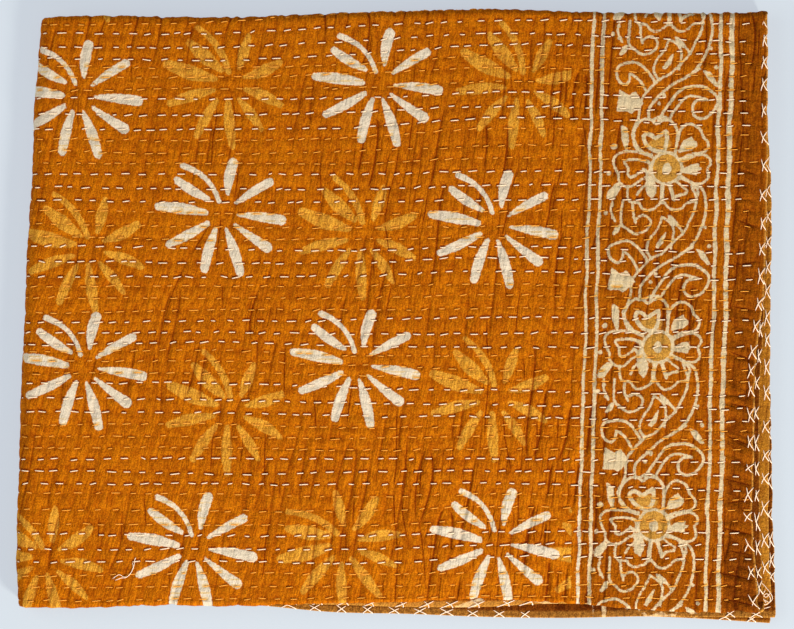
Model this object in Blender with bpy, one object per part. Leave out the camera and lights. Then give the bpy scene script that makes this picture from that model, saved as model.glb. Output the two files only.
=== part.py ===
"""A kantha quilt, folded in four one way and in half the other, lying flat.

Metres, +Z up, with the origin at the middle of the quilt's underside. The quilt is one sheet of
stitched cotton with a hem all round. Seen from above, +X is towards the hems and +Y towards the
double fold.

The sheet is folded twice along Y. That stacks four panels, and gives this back-and-forth section
(its levels are counted from the innermost panel outwards):

    level 3   +-------- C --------+      C is the face that shows on top
    level 2   +-------- B ------+ |      B hangs on C by the bottom fold
    level 1   ---------- A -----+ |      A hangs on B by the inner fold, and ends in a hem
    level 0   ---------- D -------+      D hangs on C by the wrap, and ends in a hem

The whole section is then bent half round about the left edge, so eight layers lie on each other.
"""

import math
from collections import namedtuple

import bmesh
import bpy
import numpy as np

MM = 0.001

# The cloth and its stack
CLOTH = 2.0 * MM             # thickness of the stitched layers of cotton
PITCH_AT_FOLD = 3.1 * MM     # from one layer to the next, beside the left fold
PITCH_AT_HEMS = 2.6 * MM     # the same at the hems, where nothing holds the stack open
PITCH_WAVE = 0.12 * MM       # how far the pitch rises and falls over the quilt, which lies uneven
WAVES_ALONG, WAVES_UP = 1.3, 0.8
LEVELS = {"D": 0, "A": 1, "B": 2, "C": 3}
WRAP_RADIUS = (LEVELS["C"] - LEVELS["D"]) / 2    # of the wrap's middle, in levels
SMALL_RADIUS = (LEVELS["B"] - LEVELS["A"]) / 2   # of the other two folds
FIRST_RADIUS = 0.5                               # of level 0 round the left fold
OUTER_RADIUS = LEVELS["C"] + FIRST_RADIUS        # of the panel that shows round the left fold

# The rows of running stitch, which draw the cloth into furrows
ROWS = 48
FURROW = 0.8 * MM            # depth of a furrow between two ridges
HEM_BAND = 10 * MM           # along the hem the cloth is held flat, and the furrows run out

# How finely the cloth is divided
SPANS_UNDER = 5              # along the half that lies underneath
SPANS_ROUND = 8              # round the left fold
SPANS_OVER = 14              # along the half that shows, up to its hem's band
SPANS_SHOWN_PANEL = 12       # up the panel that shows, before its furrows
SPANS_HIDDEN_PANEL = 8
SPANS_WRAP = 6
SPANS_SMALL_FOLD = 4

# Where the edges that run across lie, in millimetres from the middle, at places along X
Across = namedtuple("Across", "x wrap bottom_fold hem_a hem_d hem_d_under")
ACROSS = (
    Across(-305, 240.0, -233.2, -230.4, -229.6, -228.0),
    Across(-269, 240.4, -233.6, -230.4, -229.6, -228.0),
    Across(-197, 240.0, -231.2, -229.6, -229.6, -228.0),
    Across(-125, 240.8, -232.0, -230.4, -231.2, -229.0),
    Across(-61, 243.2, -230.4, -230.8, -236.8, -234.0),
    Across(3, 244.8, -229.2, -232.8, -238.4, -236.0),
    Across(67, 246.4, -226.8, -233.2, -240.8, -238.0),
    Across(131, 244.8, -229.6, -230.4, -241.6, -239.0),
    Across(195, 243.2, -234.4, -232.0, -240.4, -240.2),
    Across(247, 243.2, -237.6, -232.8, -240.8, -242.4),
    Across(304, 244.0, -237.2, -233.6, -241.3, -246.0),
)

# Where the left fold and the four hems of the upper half lie, at places along Y
Down = namedtuple("Down", "y left_fold hem_c hem_b hem_a hem_d")
DOWN = (
    Down(-237, -302.2, 290.4, 294.4, 300.8, 304.0),
    Down(-203, -304.8, 287.6, 292.4, 299.2, 303.4),
    Down(-163, -304.2, 284.8, 290.8, 298.0, 302.0),
    Down(-115, -302.4, 286.0, 290.7, 298.7, 301.0),
    Down(-67, -300.8, 286.8, 290.8, 299.5, 300.0),
    Down(-27, -299.2, 288.4, 292.8, 299.6, 299.2),
    Down(13, -297.6, 293.6, 295.2, 300.0, 299.2),
    Down(61, -295.2, 295.6, 296.0, 300.8, 299.2),
    Down(109, -292.8, 296.8, 296.4, 300.4, 298.4),
    Down(157, -291.0, 297.2, 296.8, 297.6, 297.2),
    Down(205, -287.6, 297.2, 296.8, 297.2, 296.8),
    Down(243, -284.8, 297.2, 296.8, 296.8, 296.0),
)
HEM_COLUMNS = ("hem_d", "hem_a", "hem_b", "hem_c")     # by level, from the innermost
UNDER_DRAWN_IN = 4.0 * MM    # how far the hems of the lower half stay behind the upper ones

COTTON_COLOUR = (0.46, 0.13, 0.008, 1.0)
COTTON_ROUGHNESS = 0.9

# A place in the folded section: the share of the flat way up, the level, how far past the end of
# the flat it is, in levels, and the direction in which the face side points there
Place = namedtuple("Place", "share level beyond face_y face_level panel")


def along(table, column, at):
    """A smooth curve through one column of a table, in metres, with each row's slope taken from
    its two neighbours (cubic Hermite pieces)."""
    keys = np.array([row[0] for row in table], dtype=float) * MM
    values = np.array([getattr(row, column) for row in table]) * MM
    slopes = np.gradient(values, keys)
    at = np.clip(at, keys[0], keys[-1])
    piece = np.clip(np.searchsorted(keys, at, side="right") - 1, 0, len(keys) - 2)
    width = keys[piece + 1] - keys[piece]
    t = (at - keys[piece]) / width
    return ((2 * t ** 3 - 3 * t ** 2 + 1) * values[piece]
            + (t ** 3 - 2 * t ** 2 + t) * width * slopes[piece]
            + (3 * t ** 2 - 2 * t ** 3) * values[piece + 1]
            + (t ** 3 - t ** 2) * width * slopes[piece + 1])


def flat_places(panel, shares, face):
    """The places on one flat panel, at the given shares of the way up."""
    return [Place(share, LEVELS[panel], 0.0, 0.0, face, panel) for share in shares]


def turn_places(end, before, after, spans, face):
    """The places round the half-turn that joins two panels at their bottom end (0) or top end
    (1). Its face side points out of the turn (1) or into it (-1)."""
    way = 1 if end == 1 else -1
    climb = 1 if LEVELS[after] > LEVELS[before] else -1
    middle = (LEVELS[before] + LEVELS[after]) / 2
    radius = abs(LEVELS[after] - LEVELS[before]) / 2
    places = []
    for step in range(1, spans):
        angle = math.pi * step / spans
        out, level_way = math.sin(angle), -climb * math.cos(angle)
        places.append(Place(end, middle + radius * level_way, way * radius * out,
                            face * way * out, face * level_way, "turn"))
    return places


def section(fine):
    """The sheet's section from the hem of panel A to the hem of panel D. The panel that shows is
    divided once for each ridge and each furrow where fine is asked for."""
    shown_spans = 2 * ROWS if fine else SPANS_SHOWN_PANEL
    hidden = [i / SPANS_HIDDEN_PANEL for i in range(SPANS_HIDDEN_PANEL + 1)]
    shown = [i / shown_spans for i in range(shown_spans + 1)]
    places = flat_places("A", hidden, 1)
    places += turn_places(1, "A", "B", SPANS_SMALL_FOLD, -1)
    places += flat_places("B", hidden[::-1], -1)
    places += turn_places(0, "B", "C", SPANS_SMALL_FOLD, 1)
    places += flat_places("C", shown, 1)
    places += turn_places(1, "C", "D", SPANS_WRAP, 1)
    places += flat_places("D", hidden[::-1], -1)
    return places


def lines():
    """The lines of points across the sheet, from the hems underneath, round the left fold, to the
    hems on top: each is (share of the way from the fold to the hem, angle about the fold)."""
    under = [(1 - i / SPANS_UNDER, math.pi) for i in range(SPANS_UNDER)]
    around = [(0.0, math.pi * (1 - i / SPANS_ROUND)) for i in range(SPANS_ROUND)]
    band_share = 1 - HEM_BAND / ((ACROSS[-1].x - ACROSS[0].x) * MM)
    over = [(band_share * i / SPANS_OVER, 0.0) for i in range(SPANS_OVER + 1)]
    return under + around + over + [(1.0, 0.0)]


FIRST_FINE_LINE = SPANS_UNDER + 1    # the first line round the fold that is off the underside


def bottom_end(place, x, pitch, underneath):
    """Where a panel's flat part ends at the bottom: at its hem, or where the bottom fold starts."""
    if place.panel == "A":
        return along(ACROSS, "hem_a", x)
    if place.panel == "D":
        return along(ACROSS, "hem_d_under" if underneath else "hem_d", x)
    return along(ACROSS, "bottom_fold", x) + SMALL_RADIUS * pitch + CLOTH / 2


def hem_x(level, y, underneath):
    """How far out the hem is, between those of the levels just below and just above."""
    lower = min(int(level), LEVELS["C"] - 1)
    low, high = (along(DOWN, HEM_COLUMNS[i], y) for i in (lower, lower + 1))
    return low + (high - low) * (level - lower) - (UNDER_DRAWN_IN if underneath else 0.0)


def furrow(place, index, line):
    """Height of the shown face at a point: furrows under the rows of stitches, ridges between
    them, dying away round the fold towards the underside, and none at the hem."""
    share, angle = line
    if place.panel != "C" or place.share in (0.0, 1.0) or share == 1.0:
        return 0.0
    return (0.5 if index % 2 else -0.5) * FURROW * (1 - angle / math.pi)


def point(line, place, side, lift=0.0):
    """A point of the sheet's face (side 1) or back (side -1)."""
    share, angle = line
    underneath = angle > math.pi / 2
    wave = math.sin(2 * math.pi * (WAVES_ALONG * share + WAVES_UP * place.share))
    pitch = PITCH_AT_FOLD + (PITCH_AT_HEMS - PITCH_AT_FOLD) * share + PITCH_WAVE * wave
    x_rough = (ACROSS[0].x + share * (ACROSS[-1].x - ACROSS[0].x)) * MM
    top = along(ACROSS, "wrap", x_rough) - WRAP_RADIUS * pitch - CLOTH / 2
    bottom = bottom_end(place, x_rough, pitch, underneath)
    y = bottom + place.share * (top - bottom) + place.beyond * pitch
    stack = OUTER_RADIUS * pitch + CLOTH / 2
    fold_x = along(DOWN, "left_fold", y) + OUTER_RADIUS * PITCH_AT_FOLD + CLOTH / 2
    out = (place.level + FIRST_RADIUS) * pitch + side * CLOTH / 2 * place.face_level + lift
    x = fold_x + share * (hem_x(place.level, y, underneath) - fold_x) - out * math.sin(angle)
    return x, y + side * CLOTH / 2 * place.face_y, stack + out * math.cos(angle)


def add_points(mesh, all_lines, places, side, fine):
    """One row of mesh points for each line, on the face or the back."""
    first_c = next(i for i, place in enumerate(places) if place.panel == "C")
    return [[mesh.verts.new(point(line, place, side,
                                  furrow(place, i - first_c, line) if fine else 0.0))
             for i, place in enumerate(places)] for line in all_lines]


def runs(coarse, fine):
    """For each span of the coarse section, the run of the fine section's indices along it."""
    marks = [fine.index(place) for place in coarse]
    return [list(range(a, b + 1)) for a, b in zip(marks, marks[1:])]


def fan(mesh, points, across, across_end):
    """Triangles from a fine run of points to the two points across from its ends."""
    half = len(points) // 2
    for i, (a, b) in enumerate(zip(points, points[1:])):
        mesh.faces.new((a, b, across if i < half else across_end))
    mesh.faces.new((points[half], across_end, across))


def join_lines(mesh, first, second, run, first_fine, second_fine):
    """The faces between two lines along one run: a strip where both are fine, one face where
    neither is, and a fan where only the second is."""
    if second_fine and not first_fine:
        fan(mesh, [second[i] for i in run], first[run[0]], first[run[-1]])
        return
    steps = run if first_fine else (run[0], run[-1])
    for a, b in zip(steps, steps[1:]):
        mesh.faces.new((first[a], first[b], second[b], second[a]))


def add_face(mesh, all_lines, coarse, fine, spans):
    """The face side of the sheet, finely divided from the left fold to the hem on top. It gives
    back its rows of points, by fine index; a coarse line has points at the marks only."""
    marks = [run[0] for run in spans] + [spans[-1][-1]]
    grid = add_points(mesh, all_lines[FIRST_FINE_LINE:], fine, 1, True)
    plain = add_points(mesh, all_lines[:FIRST_FINE_LINE], coarse, 1, False)
    rows = [dict(zip(marks, row)) for row in plain] + grid
    for i in range(len(all_lines) - 1):
        for run in spans:
            join_lines(mesh, rows[i], rows[i + 1], run,
                       i >= FIRST_FINE_LINE, i + 1 >= FIRST_FINE_LINE)
    return rows


def add_back(mesh, all_lines, coarse):
    """The back of the sheet, which is plain."""
    rows = add_points(mesh, all_lines, coarse, -1, False)
    for row, after in zip(rows, rows[1:]):
        for j in range(len(coarse) - 1):
            mesh.faces.new((row[j], after[j], after[j + 1], row[j + 1]))
    return rows


def add_hems(mesh, face_rows, back_rows, spans):
    """The cut edges of the sheet: hems A and D along the bottom, and both ends at the right."""
    first, last = spans[0][0], spans[-1][-1]
    for i in range(len(back_rows) - 1):
        mesh.faces.new((face_rows[i][first], face_rows[i + 1][first],
                        back_rows[i + 1][0], back_rows[i][0]))
        mesh.faces.new((face_rows[i][last], back_rows[i][-1],
                        back_rows[i + 1][-1], face_rows[i + 1][last]))
    for j, run in enumerate(spans):
        mesh.faces.new((face_rows[0][run[0]], back_rows[0][j],
                        back_rows[0][j + 1], face_rows[0][run[-1]]))
        fan(mesh, [face_rows[-1][i] for i in run], back_rows[-1][j], back_rows[-1][j + 1])


def centre_on_floor(mesh):
    """Moves the quilt so that its box stands centred on the origin."""
    points = np.array([vert.co for vert in mesh.verts])
    low, high = points.min(axis=0), points.max(axis=0)
    middle = (low + high) / 2
    for vert in mesh.verts:
        vert.co.x -= middle[0]
        vert.co.y -= middle[1]
        vert.co.z -= low[2]


def cotton():
    """Mustard cotton, block printed and washed soft."""
    material = bpy.data.materials.new("mustard_cotton")
    material.use_nodes = True
    shader = material.node_tree.nodes["Principled BSDF"]
    shader.inputs["Base Color"].default_value = COTTON_COLOUR
    shader.inputs["Roughness"].default_value = COTTON_ROUGHNESS
    return material


def make_quilt():
    """The quilt, one closed solid."""
    coarse, fine, all_lines = section(False), section(True), lines()
    spans = runs(coarse, fine)
    mesh = bmesh.new()
    face_rows = add_face(mesh, all_lines, coarse, fine, spans)
    back_rows = add_back(mesh, all_lines, coarse)
    add_hems(mesh, face_rows, back_rows, spans)
    centre_on_floor(mesh)
    bmesh.ops.triangulate(mesh, faces=mesh.faces[:], quad_method="SHORT_EDGE")
    bmesh.ops.recalc_face_normals(mesh, faces=mesh.faces[:])
    data = bpy.data.meshes.new("quilt")
    mesh.to_mesh(data)
    mesh.free()
    data.shade_smooth()
    data.set_sharp_from_angle(angle=math.radians(50))
    data.materials.append(cotton())
    quilt = bpy.data.objects.new("quilt", data)
    bpy.context.scene.collection.objects.link(quilt)


for old in list(bpy.data.objects):
    bpy.data.objects.remove(old)
make_quilt()
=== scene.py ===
# %% [markdown]
# # A folded kantha quilt
# A kantha quilt is two or three thin cottons laid on each other and sewn through with rows of
# running stitch. Here it lies folded: its width once in half, and its length to a quarter, so that
# eight layers lie on each other and their hems fan out along one side.
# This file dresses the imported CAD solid. First it loads the frame, so that all that follows is in
# metres in the same place. The box of the CAD model is kept, to be set against the finished one.

# %% Load the frame
import math
from collections import namedtuple

import bmesh
import bpy
import numpy as np
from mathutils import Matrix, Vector


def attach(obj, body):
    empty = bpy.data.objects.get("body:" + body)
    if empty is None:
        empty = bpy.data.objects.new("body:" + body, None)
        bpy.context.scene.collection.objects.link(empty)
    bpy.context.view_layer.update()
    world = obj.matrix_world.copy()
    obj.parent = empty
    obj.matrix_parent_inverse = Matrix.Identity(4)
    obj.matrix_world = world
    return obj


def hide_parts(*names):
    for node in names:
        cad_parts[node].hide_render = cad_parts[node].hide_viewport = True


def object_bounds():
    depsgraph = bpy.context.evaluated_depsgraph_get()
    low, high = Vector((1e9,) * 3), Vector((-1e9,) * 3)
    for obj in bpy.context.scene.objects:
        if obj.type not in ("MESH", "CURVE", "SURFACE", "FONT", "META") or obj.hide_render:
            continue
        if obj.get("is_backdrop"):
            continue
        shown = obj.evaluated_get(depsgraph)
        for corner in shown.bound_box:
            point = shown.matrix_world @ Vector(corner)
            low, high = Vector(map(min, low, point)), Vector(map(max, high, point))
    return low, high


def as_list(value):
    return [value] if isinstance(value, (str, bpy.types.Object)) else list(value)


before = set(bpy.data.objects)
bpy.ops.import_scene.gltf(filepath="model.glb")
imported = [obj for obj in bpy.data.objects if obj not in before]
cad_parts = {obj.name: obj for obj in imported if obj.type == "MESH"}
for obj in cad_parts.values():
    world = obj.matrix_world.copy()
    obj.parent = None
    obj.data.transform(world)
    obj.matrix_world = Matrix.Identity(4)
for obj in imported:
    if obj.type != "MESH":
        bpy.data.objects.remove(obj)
cad_low, cad_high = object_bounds()
MM = 0.001
print("CAD box in mm:", [round(v / MM, 1) for v in (*cad_low, *cad_high)])

# %% [markdown]
# ## How the quilt is folded
# Seen from the hems, the cloth makes one back-and-forth section. Panel C shows on top. B hangs
# under it by the bottom fold, A hangs on B by an inner fold, and D hangs on C by the wrap, a wide
# turn that goes round A and B. That whole section is then bent half round about the left edge.
# The cloth could be dropped by a simulation, but a folded packet is known exactly. So the shape is
# worked out: a table says where each fold and hem lies, measured in millimetres from the middle of
# the picture, and a smooth curve runs through each column of the table.

# %% Sizes and tables of the folds
CLOTH = 2.0 * MM
PITCH_AT_FOLD, PITCH_AT_HEMS = 3.1 * MM, 2.6 * MM
PITCH_WAVE, WAVES_ALONG, WAVES_UP = 0.12 * MM, 1.3, 0.8
LEVELS = {"D": 0, "A": 1, "B": 2, "C": 3}
WRAP_RADIUS, SMALL_RADIUS, FIRST_RADIUS, OUTER_RADIUS = 1.5, 0.5, 0.5, 3.5    # in levels
UNDER_DRAWN_IN = 4.0 * MM

Across = namedtuple("Across", "x wrap bottom_fold hem_a hem_d hem_d_under")
ACROSS = [Across(*row) for row in (
    (-305, 240, -233.2, -230.4, -229.6, -228), (-269, 240.4, -233.6, -230.4, -229.6, -228),
    (-197, 240, -231.2, -229.6, -229.6, -228), (-125, 240.8, -232, -230.4, -231.2, -229),
    (-61, 243.2, -230.4, -230.8, -236.8, -234), (3, 244.8, -229.2, -232.8, -238.4, -236),
    (67, 246.4, -226.8, -233.2, -240.8, -238), (131, 244.8, -229.6, -230.4, -241.6, -239),
    (195, 243.2, -234.4, -232, -240.4, -240.2), (247, 243.2, -237.6, -232.8, -240.8, -242.4),
    (304, 244, -237.2, -233.6, -241.3, -246),
)]

Down = namedtuple("Down", "y left_fold hem_c hem_b hem_a hem_d")
DOWN = [Down(*row) for row in (
    (-237, -302.2, 290.4, 294.4, 300.8, 304), (-203, -304.8, 287.6, 292.4, 299.2, 303.4),
    (-163, -304.2, 284.8, 290.8, 298, 302), (-115, -302.4, 286, 290.7, 298.7, 301),
    (-67, -300.8, 286.8, 290.8, 299.5, 300), (-27, -299.2, 288.4, 292.8, 299.6, 299.2),
    (13, -297.6, 293.6, 295.2, 300, 299.2), (61, -295.2, 295.6, 296, 300.8, 299.2),
    (109, -292.8, 296.8, 296.4, 300.4, 298.4), (157, -291, 297.2, 296.8, 297.6, 297.2),
    (205, -287.6, 297.2, 296.8, 297.2, 296.8), (243, -284.8, 297.2, 296.8, 296.8, 296),
)]
HEM_COLUMNS = ("hem_d", "hem_a", "hem_b", "hem_c")    # by level
SPAN = (ACROSS[-1].x - ACROSS[0].x) * MM
print("tables:", len(ACROSS), "places along X,", len(DOWN), "along Y")


# %% A smooth curve through a table
def smooth(keys, values, at):
    """Cubic pieces through (keys, values). Each key's slope comes from its two neighbours."""
    slopes = np.gradient(values, keys)
    at = np.clip(at, keys[0], keys[-1])
    piece = np.clip(np.searchsorted(keys, at, side="right") - 1, 0, len(keys) - 2)
    width = keys[piece + 1] - keys[piece]
    t = (at - keys[piece]) / width
    return ((2 * t ** 3 - 3 * t ** 2 + 1) * values[piece]
            + (t ** 3 - 2 * t ** 2 + t) * width * slopes[piece]
            + (3 * t ** 2 - 2 * t ** 3) * values[piece + 1]
            + (t ** 3 - t ** 2) * width * slopes[piece + 1])


def along(table, column, at):
    """One column of a table as a smooth curve, in metres."""
    keys = np.array([row[0] for row in table], dtype=float) * MM
    return smooth(keys, np.array([getattr(row, column) for row in table]) * MM, at)


# %% [markdown]
# ## Small random hills
# Real cloth is never even. Smooth random hills are made here from random heights at the corners of
# a lattice, blended between corners. The lattice has a fixed seed, so every run gives the same
# quilt. Cells that are longer one way than the other give hills that run like creases.

# %% Smooth random hills
LATTICE = 256


def hills(x, y, cell_x, cell_y, seed):
    """Heights from -1 to 1: random at lattice corners, and eased from one corner to the next by
    t * t * (3 - 2 * t) both ways."""
    heights = np.random.default_rng(seed).uniform(-1, 1, (LATTICE, LATTICE))
    u, v = x / cell_x, y / cell_y
    i, j = np.floor(u).astype(int), np.floor(v).astype(int)
    s, t = u - i, v - j
    s, t = s * s * (3 - 2 * s), t * t * (3 - 2 * t)
    i, j, i2, j2 = i % LATTICE, j % LATTICE, (i + 1) % LATTICE, (j + 1) % LATTICE
    return ((1 - t) * ((1 - s) * heights[i, j] + s * heights[i2, j])
            + t * ((1 - s) * heights[i, j2] + s * heights[i2, j2]))


def ease(value, start, end):
    """0 before start and 1 after end, with a smooth step between them."""
    t = np.clip((value - start) / (end - start), 0, 1)
    return t * t * (3 - 2 * t)


# %% [markdown]
# ## From the flat cloth to the folded one
# A place on the cloth has two coordinates. Across, it is a share of the way from the left fold to
# the hem, or an angle round that fold. Up and down, it is a row: its level in the stack, its share
# of the way up the panel, and the direction that the printed side faces there. Rows round a
# half-turn get their level and their reach from the sine and cosine of the angle turned.
# Each row also carries four numbers that unroll it, so that the print can be laid out flat.

# %% Rows of the section
Rows = namedtuple("Rows", "up level beyond face_y face_level foot "
                          "at_fold at_top at_pitch at_y")
AT_FOLD, AT_HEM_A, AT_HEM_D = 0, 1, 2      # what a panel's flat part ends at, at the bottom


def flat_rows(panel, ups, facing):
    """Rows on a flat panel, at shares of the way up. Unrolled, B, A and D continue from C."""
    ups = np.asarray(ups, dtype=float)
    unroll = {"C": (0, 0, 0, 1), "D": (0, 2, np.pi * WRAP_RADIUS, -1),
              "B": (2, 0, -np.pi * SMALL_RADIUS, -1),
              "A": (2, -2, -2 * np.pi * SMALL_RADIUS, 1)}[panel]
    foot = {"A": AT_HEM_A, "D": AT_HEM_D}.get(panel, AT_FOLD)
    full = np.ones(len(ups))
    return Rows(ups, full * LEVELS[panel], full * 0, full * 0, full * facing,
                full.astype(int) * foot, *(full * k for k in unroll))


def turn_rows(before, after, angles, facing, unroll=(0, 0, 0)):
    """Rows round a half-turn from one panel to another, at angles from 0 to pi."""
    at_top = {"B", "C"} != {before, after}
    way, climb = (1 if at_top else -1), np.sign(LEVELS[after] - LEVELS[before])
    radius = abs(LEVELS[after] - LEVELS[before]) / 2
    out, level_way = np.sin(angles), -climb * np.cos(angles)
    full = np.ones(len(angles))
    middle = (LEVELS[before] + LEVELS[after]) / 2
    return Rows(full * at_top, middle + radius * level_way, way * radius * out,
                facing * way * out, facing * level_way, (full * AT_FOLD).astype(int),
                *(full * k for k in (*unroll, 0)))


def join_rows(*parts):
    """Rows one after another."""
    return Rows(*(np.concatenate(fields) for fields in zip(*parts)))


Stack = namedtuple("Stack", "pitch top fold y fold_x hem_x")


def stack_at(share, angle, row):
    """What the tables say at a place: the pitch of the layers, where the panel's flat part ends at
    the top and the bottom, its y, and the x of the left fold and of the hem at that y."""
    under = angle > np.pi / 2
    wave = np.sin(2 * np.pi * (WAVES_ALONG * share + WAVES_UP * row.up))
    pitch = PITCH_AT_FOLD + (PITCH_AT_HEMS - PITCH_AT_FOLD) * share + PITCH_WAVE * wave
    x_rough = ACROSS[0].x * MM + share * SPAN
    top = along(ACROSS, "wrap", x_rough) - WRAP_RADIUS * pitch - CLOTH / 2
    fold = along(ACROSS, "bottom_fold", x_rough) + SMALL_RADIUS * pitch + CLOTH / 2
    hem_d = np.where(under, along(ACROSS, "hem_d_under", x_rough), along(ACROSS, "hem_d", x_rough))
    hem_a = along(ACROSS, "hem_a", x_rough)
    bottom = np.where(row.foot == AT_HEM_A, hem_a, np.where(row.foot == AT_HEM_D, hem_d, fold))
    y = bottom + row.up * (top - bottom) + row.beyond * pitch
    lower = np.minimum(row.level.astype(int), LEVELS["C"] - 1)
    hems = np.stack([along(DOWN, name, y) for name in HEM_COLUMNS])
    low, high = (np.take_along_axis(hems, (lower + i + np.zeros(y.shape, int))[None], 0)[0]
                 for i in (0, 1))
    hem_x = low + (high - low) * (row.level - lower) - np.where(under, UNDER_DRAWN_IN, 0)
    hem_x = hem_x + hem_detail(y, y - bottom, row.level, under)
    fold_x = along(DOWN, "left_fold", y) + OUTER_RADIUS * PITCH_AT_FOLD + CLOTH / 2
    return Stack(pitch, top, fold, y, fold_x, hem_x)


# %% [markdown]
# The hem is drawn in a little at each crossed stitch, so its edge is scalloped. One corner of the
# layer called A is rounded, where its stitching ends in a small knot of thread.

# %% The scalloped hem
HEM_STEP = 21.2 * MM               # from one crossed stitch to the next, where they are hidden
SEEN_CROSSES = {                   # heights of those that show, in millimetres
    "D": (-209.6, -196, -179.2, -159.2, -132.8, -112.8, -93.6, -78.4),
    "A": (-201.6, -180, -154.4, -130.4, -112, -88.8, -61.6, -40.8, -19.2, -1.6, 20, 39.2, 59.2,
          80, 100.8),
    "B": (-217.6, -205.6, -185.6, -164.8, -144, -122.4, -101.6, -77.6, -53.6, -32),
    "C": (-228.8, -205.6, -183.2, -160.8, -143.2, -122.4, -101.6, -79.2, -58.4, -44, -28.8, -8,
          9.6, 32, 53.6, 74.4, 96.8, 120.8, 143.2, 164.8, 185.6, 203.2, 220.8, 236.0),
}
HEM_CROSSES = {name: np.append(seen, np.arange(seen[-1] + HEM_STEP / MM, 238, HEM_STEP / MM)) * MM
               for name, seen in SEEN_CROSSES.items()}
HEM_DRAWN_IN, DRAWN_HALF, HEM_UNEVEN = 1.2 * MM, 3.6 * MM, 0.35 * MM
CORNER = 9.0 * MM


def hem_detail(y, above_foot, level, under):
    """How far the hem is from its smooth line: drawn in by a bell curve at each crossed stitch, a
    little uneven, and rounded at the bottom corner of level A by a quarter of a circle."""
    drawn, sewn_y = 0, y + np.where(under, 0.5 * HEM_STEP, 0)
    for name, crosses in HEM_CROSSES.items():
        after = np.clip(np.searchsorted(crosses, sewn_y), 1, len(crosses) - 1)
        off = np.minimum(np.abs(sewn_y - crosses[after - 1]), np.abs(sewn_y - crosses[after]))
        own = np.abs(level - LEVELS[name]) <= 0.5
        drawn = np.maximum(drawn, own * np.exp(-(off / DRAWN_HALF) ** 2))
    uneven = hills(y, level * 40 * MM, 14 * MM, 25 * MM, 5)
    near = np.clip(1 - above_foot / CORNER, 0, 1) * (np.abs(level - LEVELS["A"]) < 0.01)
    rounded = CORNER * (1 - np.sqrt(np.clip(1 - near ** 2, 0, 1)))
    return -HEM_DRAWN_IN * drawn + HEM_UNEVEN * uneven - rounded


def place(share, angle, row, depth):
    """A point of the cloth. Across, the cloth runs straight to the hem and round the left fold on
    a circle whose radius is the layer's distance from the middle of the whole stack. Depth is how
    far the point is from the cloth's own middle, towards its printed side."""
    at = stack_at(share, angle, row)
    out = (row.level + FIRST_RADIUS) * at.pitch + depth * row.face_level
    x = at.fold_x + share * (at.hem_x - at.fold_x) - out * np.sin(angle)
    z = OUTER_RADIUS * at.pitch + CLOTH / 2 + out * np.cos(angle)
    return np.stack(np.broadcast_arrays(x, at.y + depth * row.face_y, z), axis=-1)


def point_and_way(share, angle, row, depth, further):
    """Points at a depth in the folded cloth, moved as the whole quilt is, and the way from them to
    the points at a depth further off it."""
    low, high = (place(share, angle, row, d) + SHIFT for d in (depth, further))
    return low, high - low


def hem_rows(panel, y, angle, up):
    """Rows of a panel that are at heights y by the hem, and what the tables say there. The share
    of the way up starts from a guess and is corrected twice by how far its y is off."""
    facing = 1 if panel in "AC" else -1
    row = flat_rows(panel, y * 0 + up, facing)
    for _ in range(2):
        at = stack_at(y * 0 + 1, y * 0 + angle, row)
        row = flat_rows(panel, row.up + (y - at.y) / (at.top - at.fold), facing)
    return row, at


def unrolled(share, angle, row):
    """The same place on the flat cloth: along X as seen on top and then on round the left fold,
    along Y as seen on panel C and then on round the wrap or the bottom fold."""
    at = stack_at(share, angle, row)
    turned = (row.level + FIRST_RADIUS) * at.pitch * angle
    run = share * (at.hem_x - at.fold_x) * np.where(angle > np.pi / 2, -1, 1)
    flat_y = (row.at_fold * at.fold + row.at_top * at.top + row.at_pitch * at.pitch
              + row.at_y * at.y)
    return np.broadcast_arrays(at.fold_x + run - turned, flat_y)


# %% [markdown]
# The tables are measured from the middle of the picture, and the CAD model stands with its box
# centred on the origin. The same section, worked out coarsely, says how far apart the two are.

# %% Fit the cloth to the CAD box
STEPS = np.linspace(0, 1, 49)
whole = join_rows(
    flat_rows("A", STEPS, 1), flat_rows("C", STEPS, 1), flat_rows("D", STEPS, -1),
    turn_rows("B", "C", np.pi * STEPS, 1), turn_rows("C", "D", np.pi * STEPS, 1))
across_share = np.concatenate([STEPS[::-1], STEPS * 0, STEPS])[:, None]
across_angle = np.concatenate([STEPS * 0, STEPS * np.pi, STEPS * 0 + np.pi])[:, None]
shell = np.concatenate([place(across_share, across_angle, whole, side * CLOTH / 2)
                        for side in (1, -1)])
own_low, own_high = shell.reshape(-1, 3).min(0), shell.reshape(-1, 3).max(0)
SHIFT = np.array([(cad_low[0] + cad_high[0] - own_low[0] - own_high[0]) / 2,
                  (cad_low[1] + cad_high[1] - own_low[1] - own_high[1]) / 2, 0.0])
print("moved by", (SHIFT / MM).round(2), "mm; own box", ((own_high - own_low) / MM).round(1))


# %% [markdown]
# ## The lines of running stitch
# The sewing runs in 49 lines across the quilt, three in white thread and then three in ochre. A
# hand-sewn line wanders, so the table gives each line's height at five places across, in
# millimetres. The first line climbs over the wrap on its way to the right.

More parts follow.
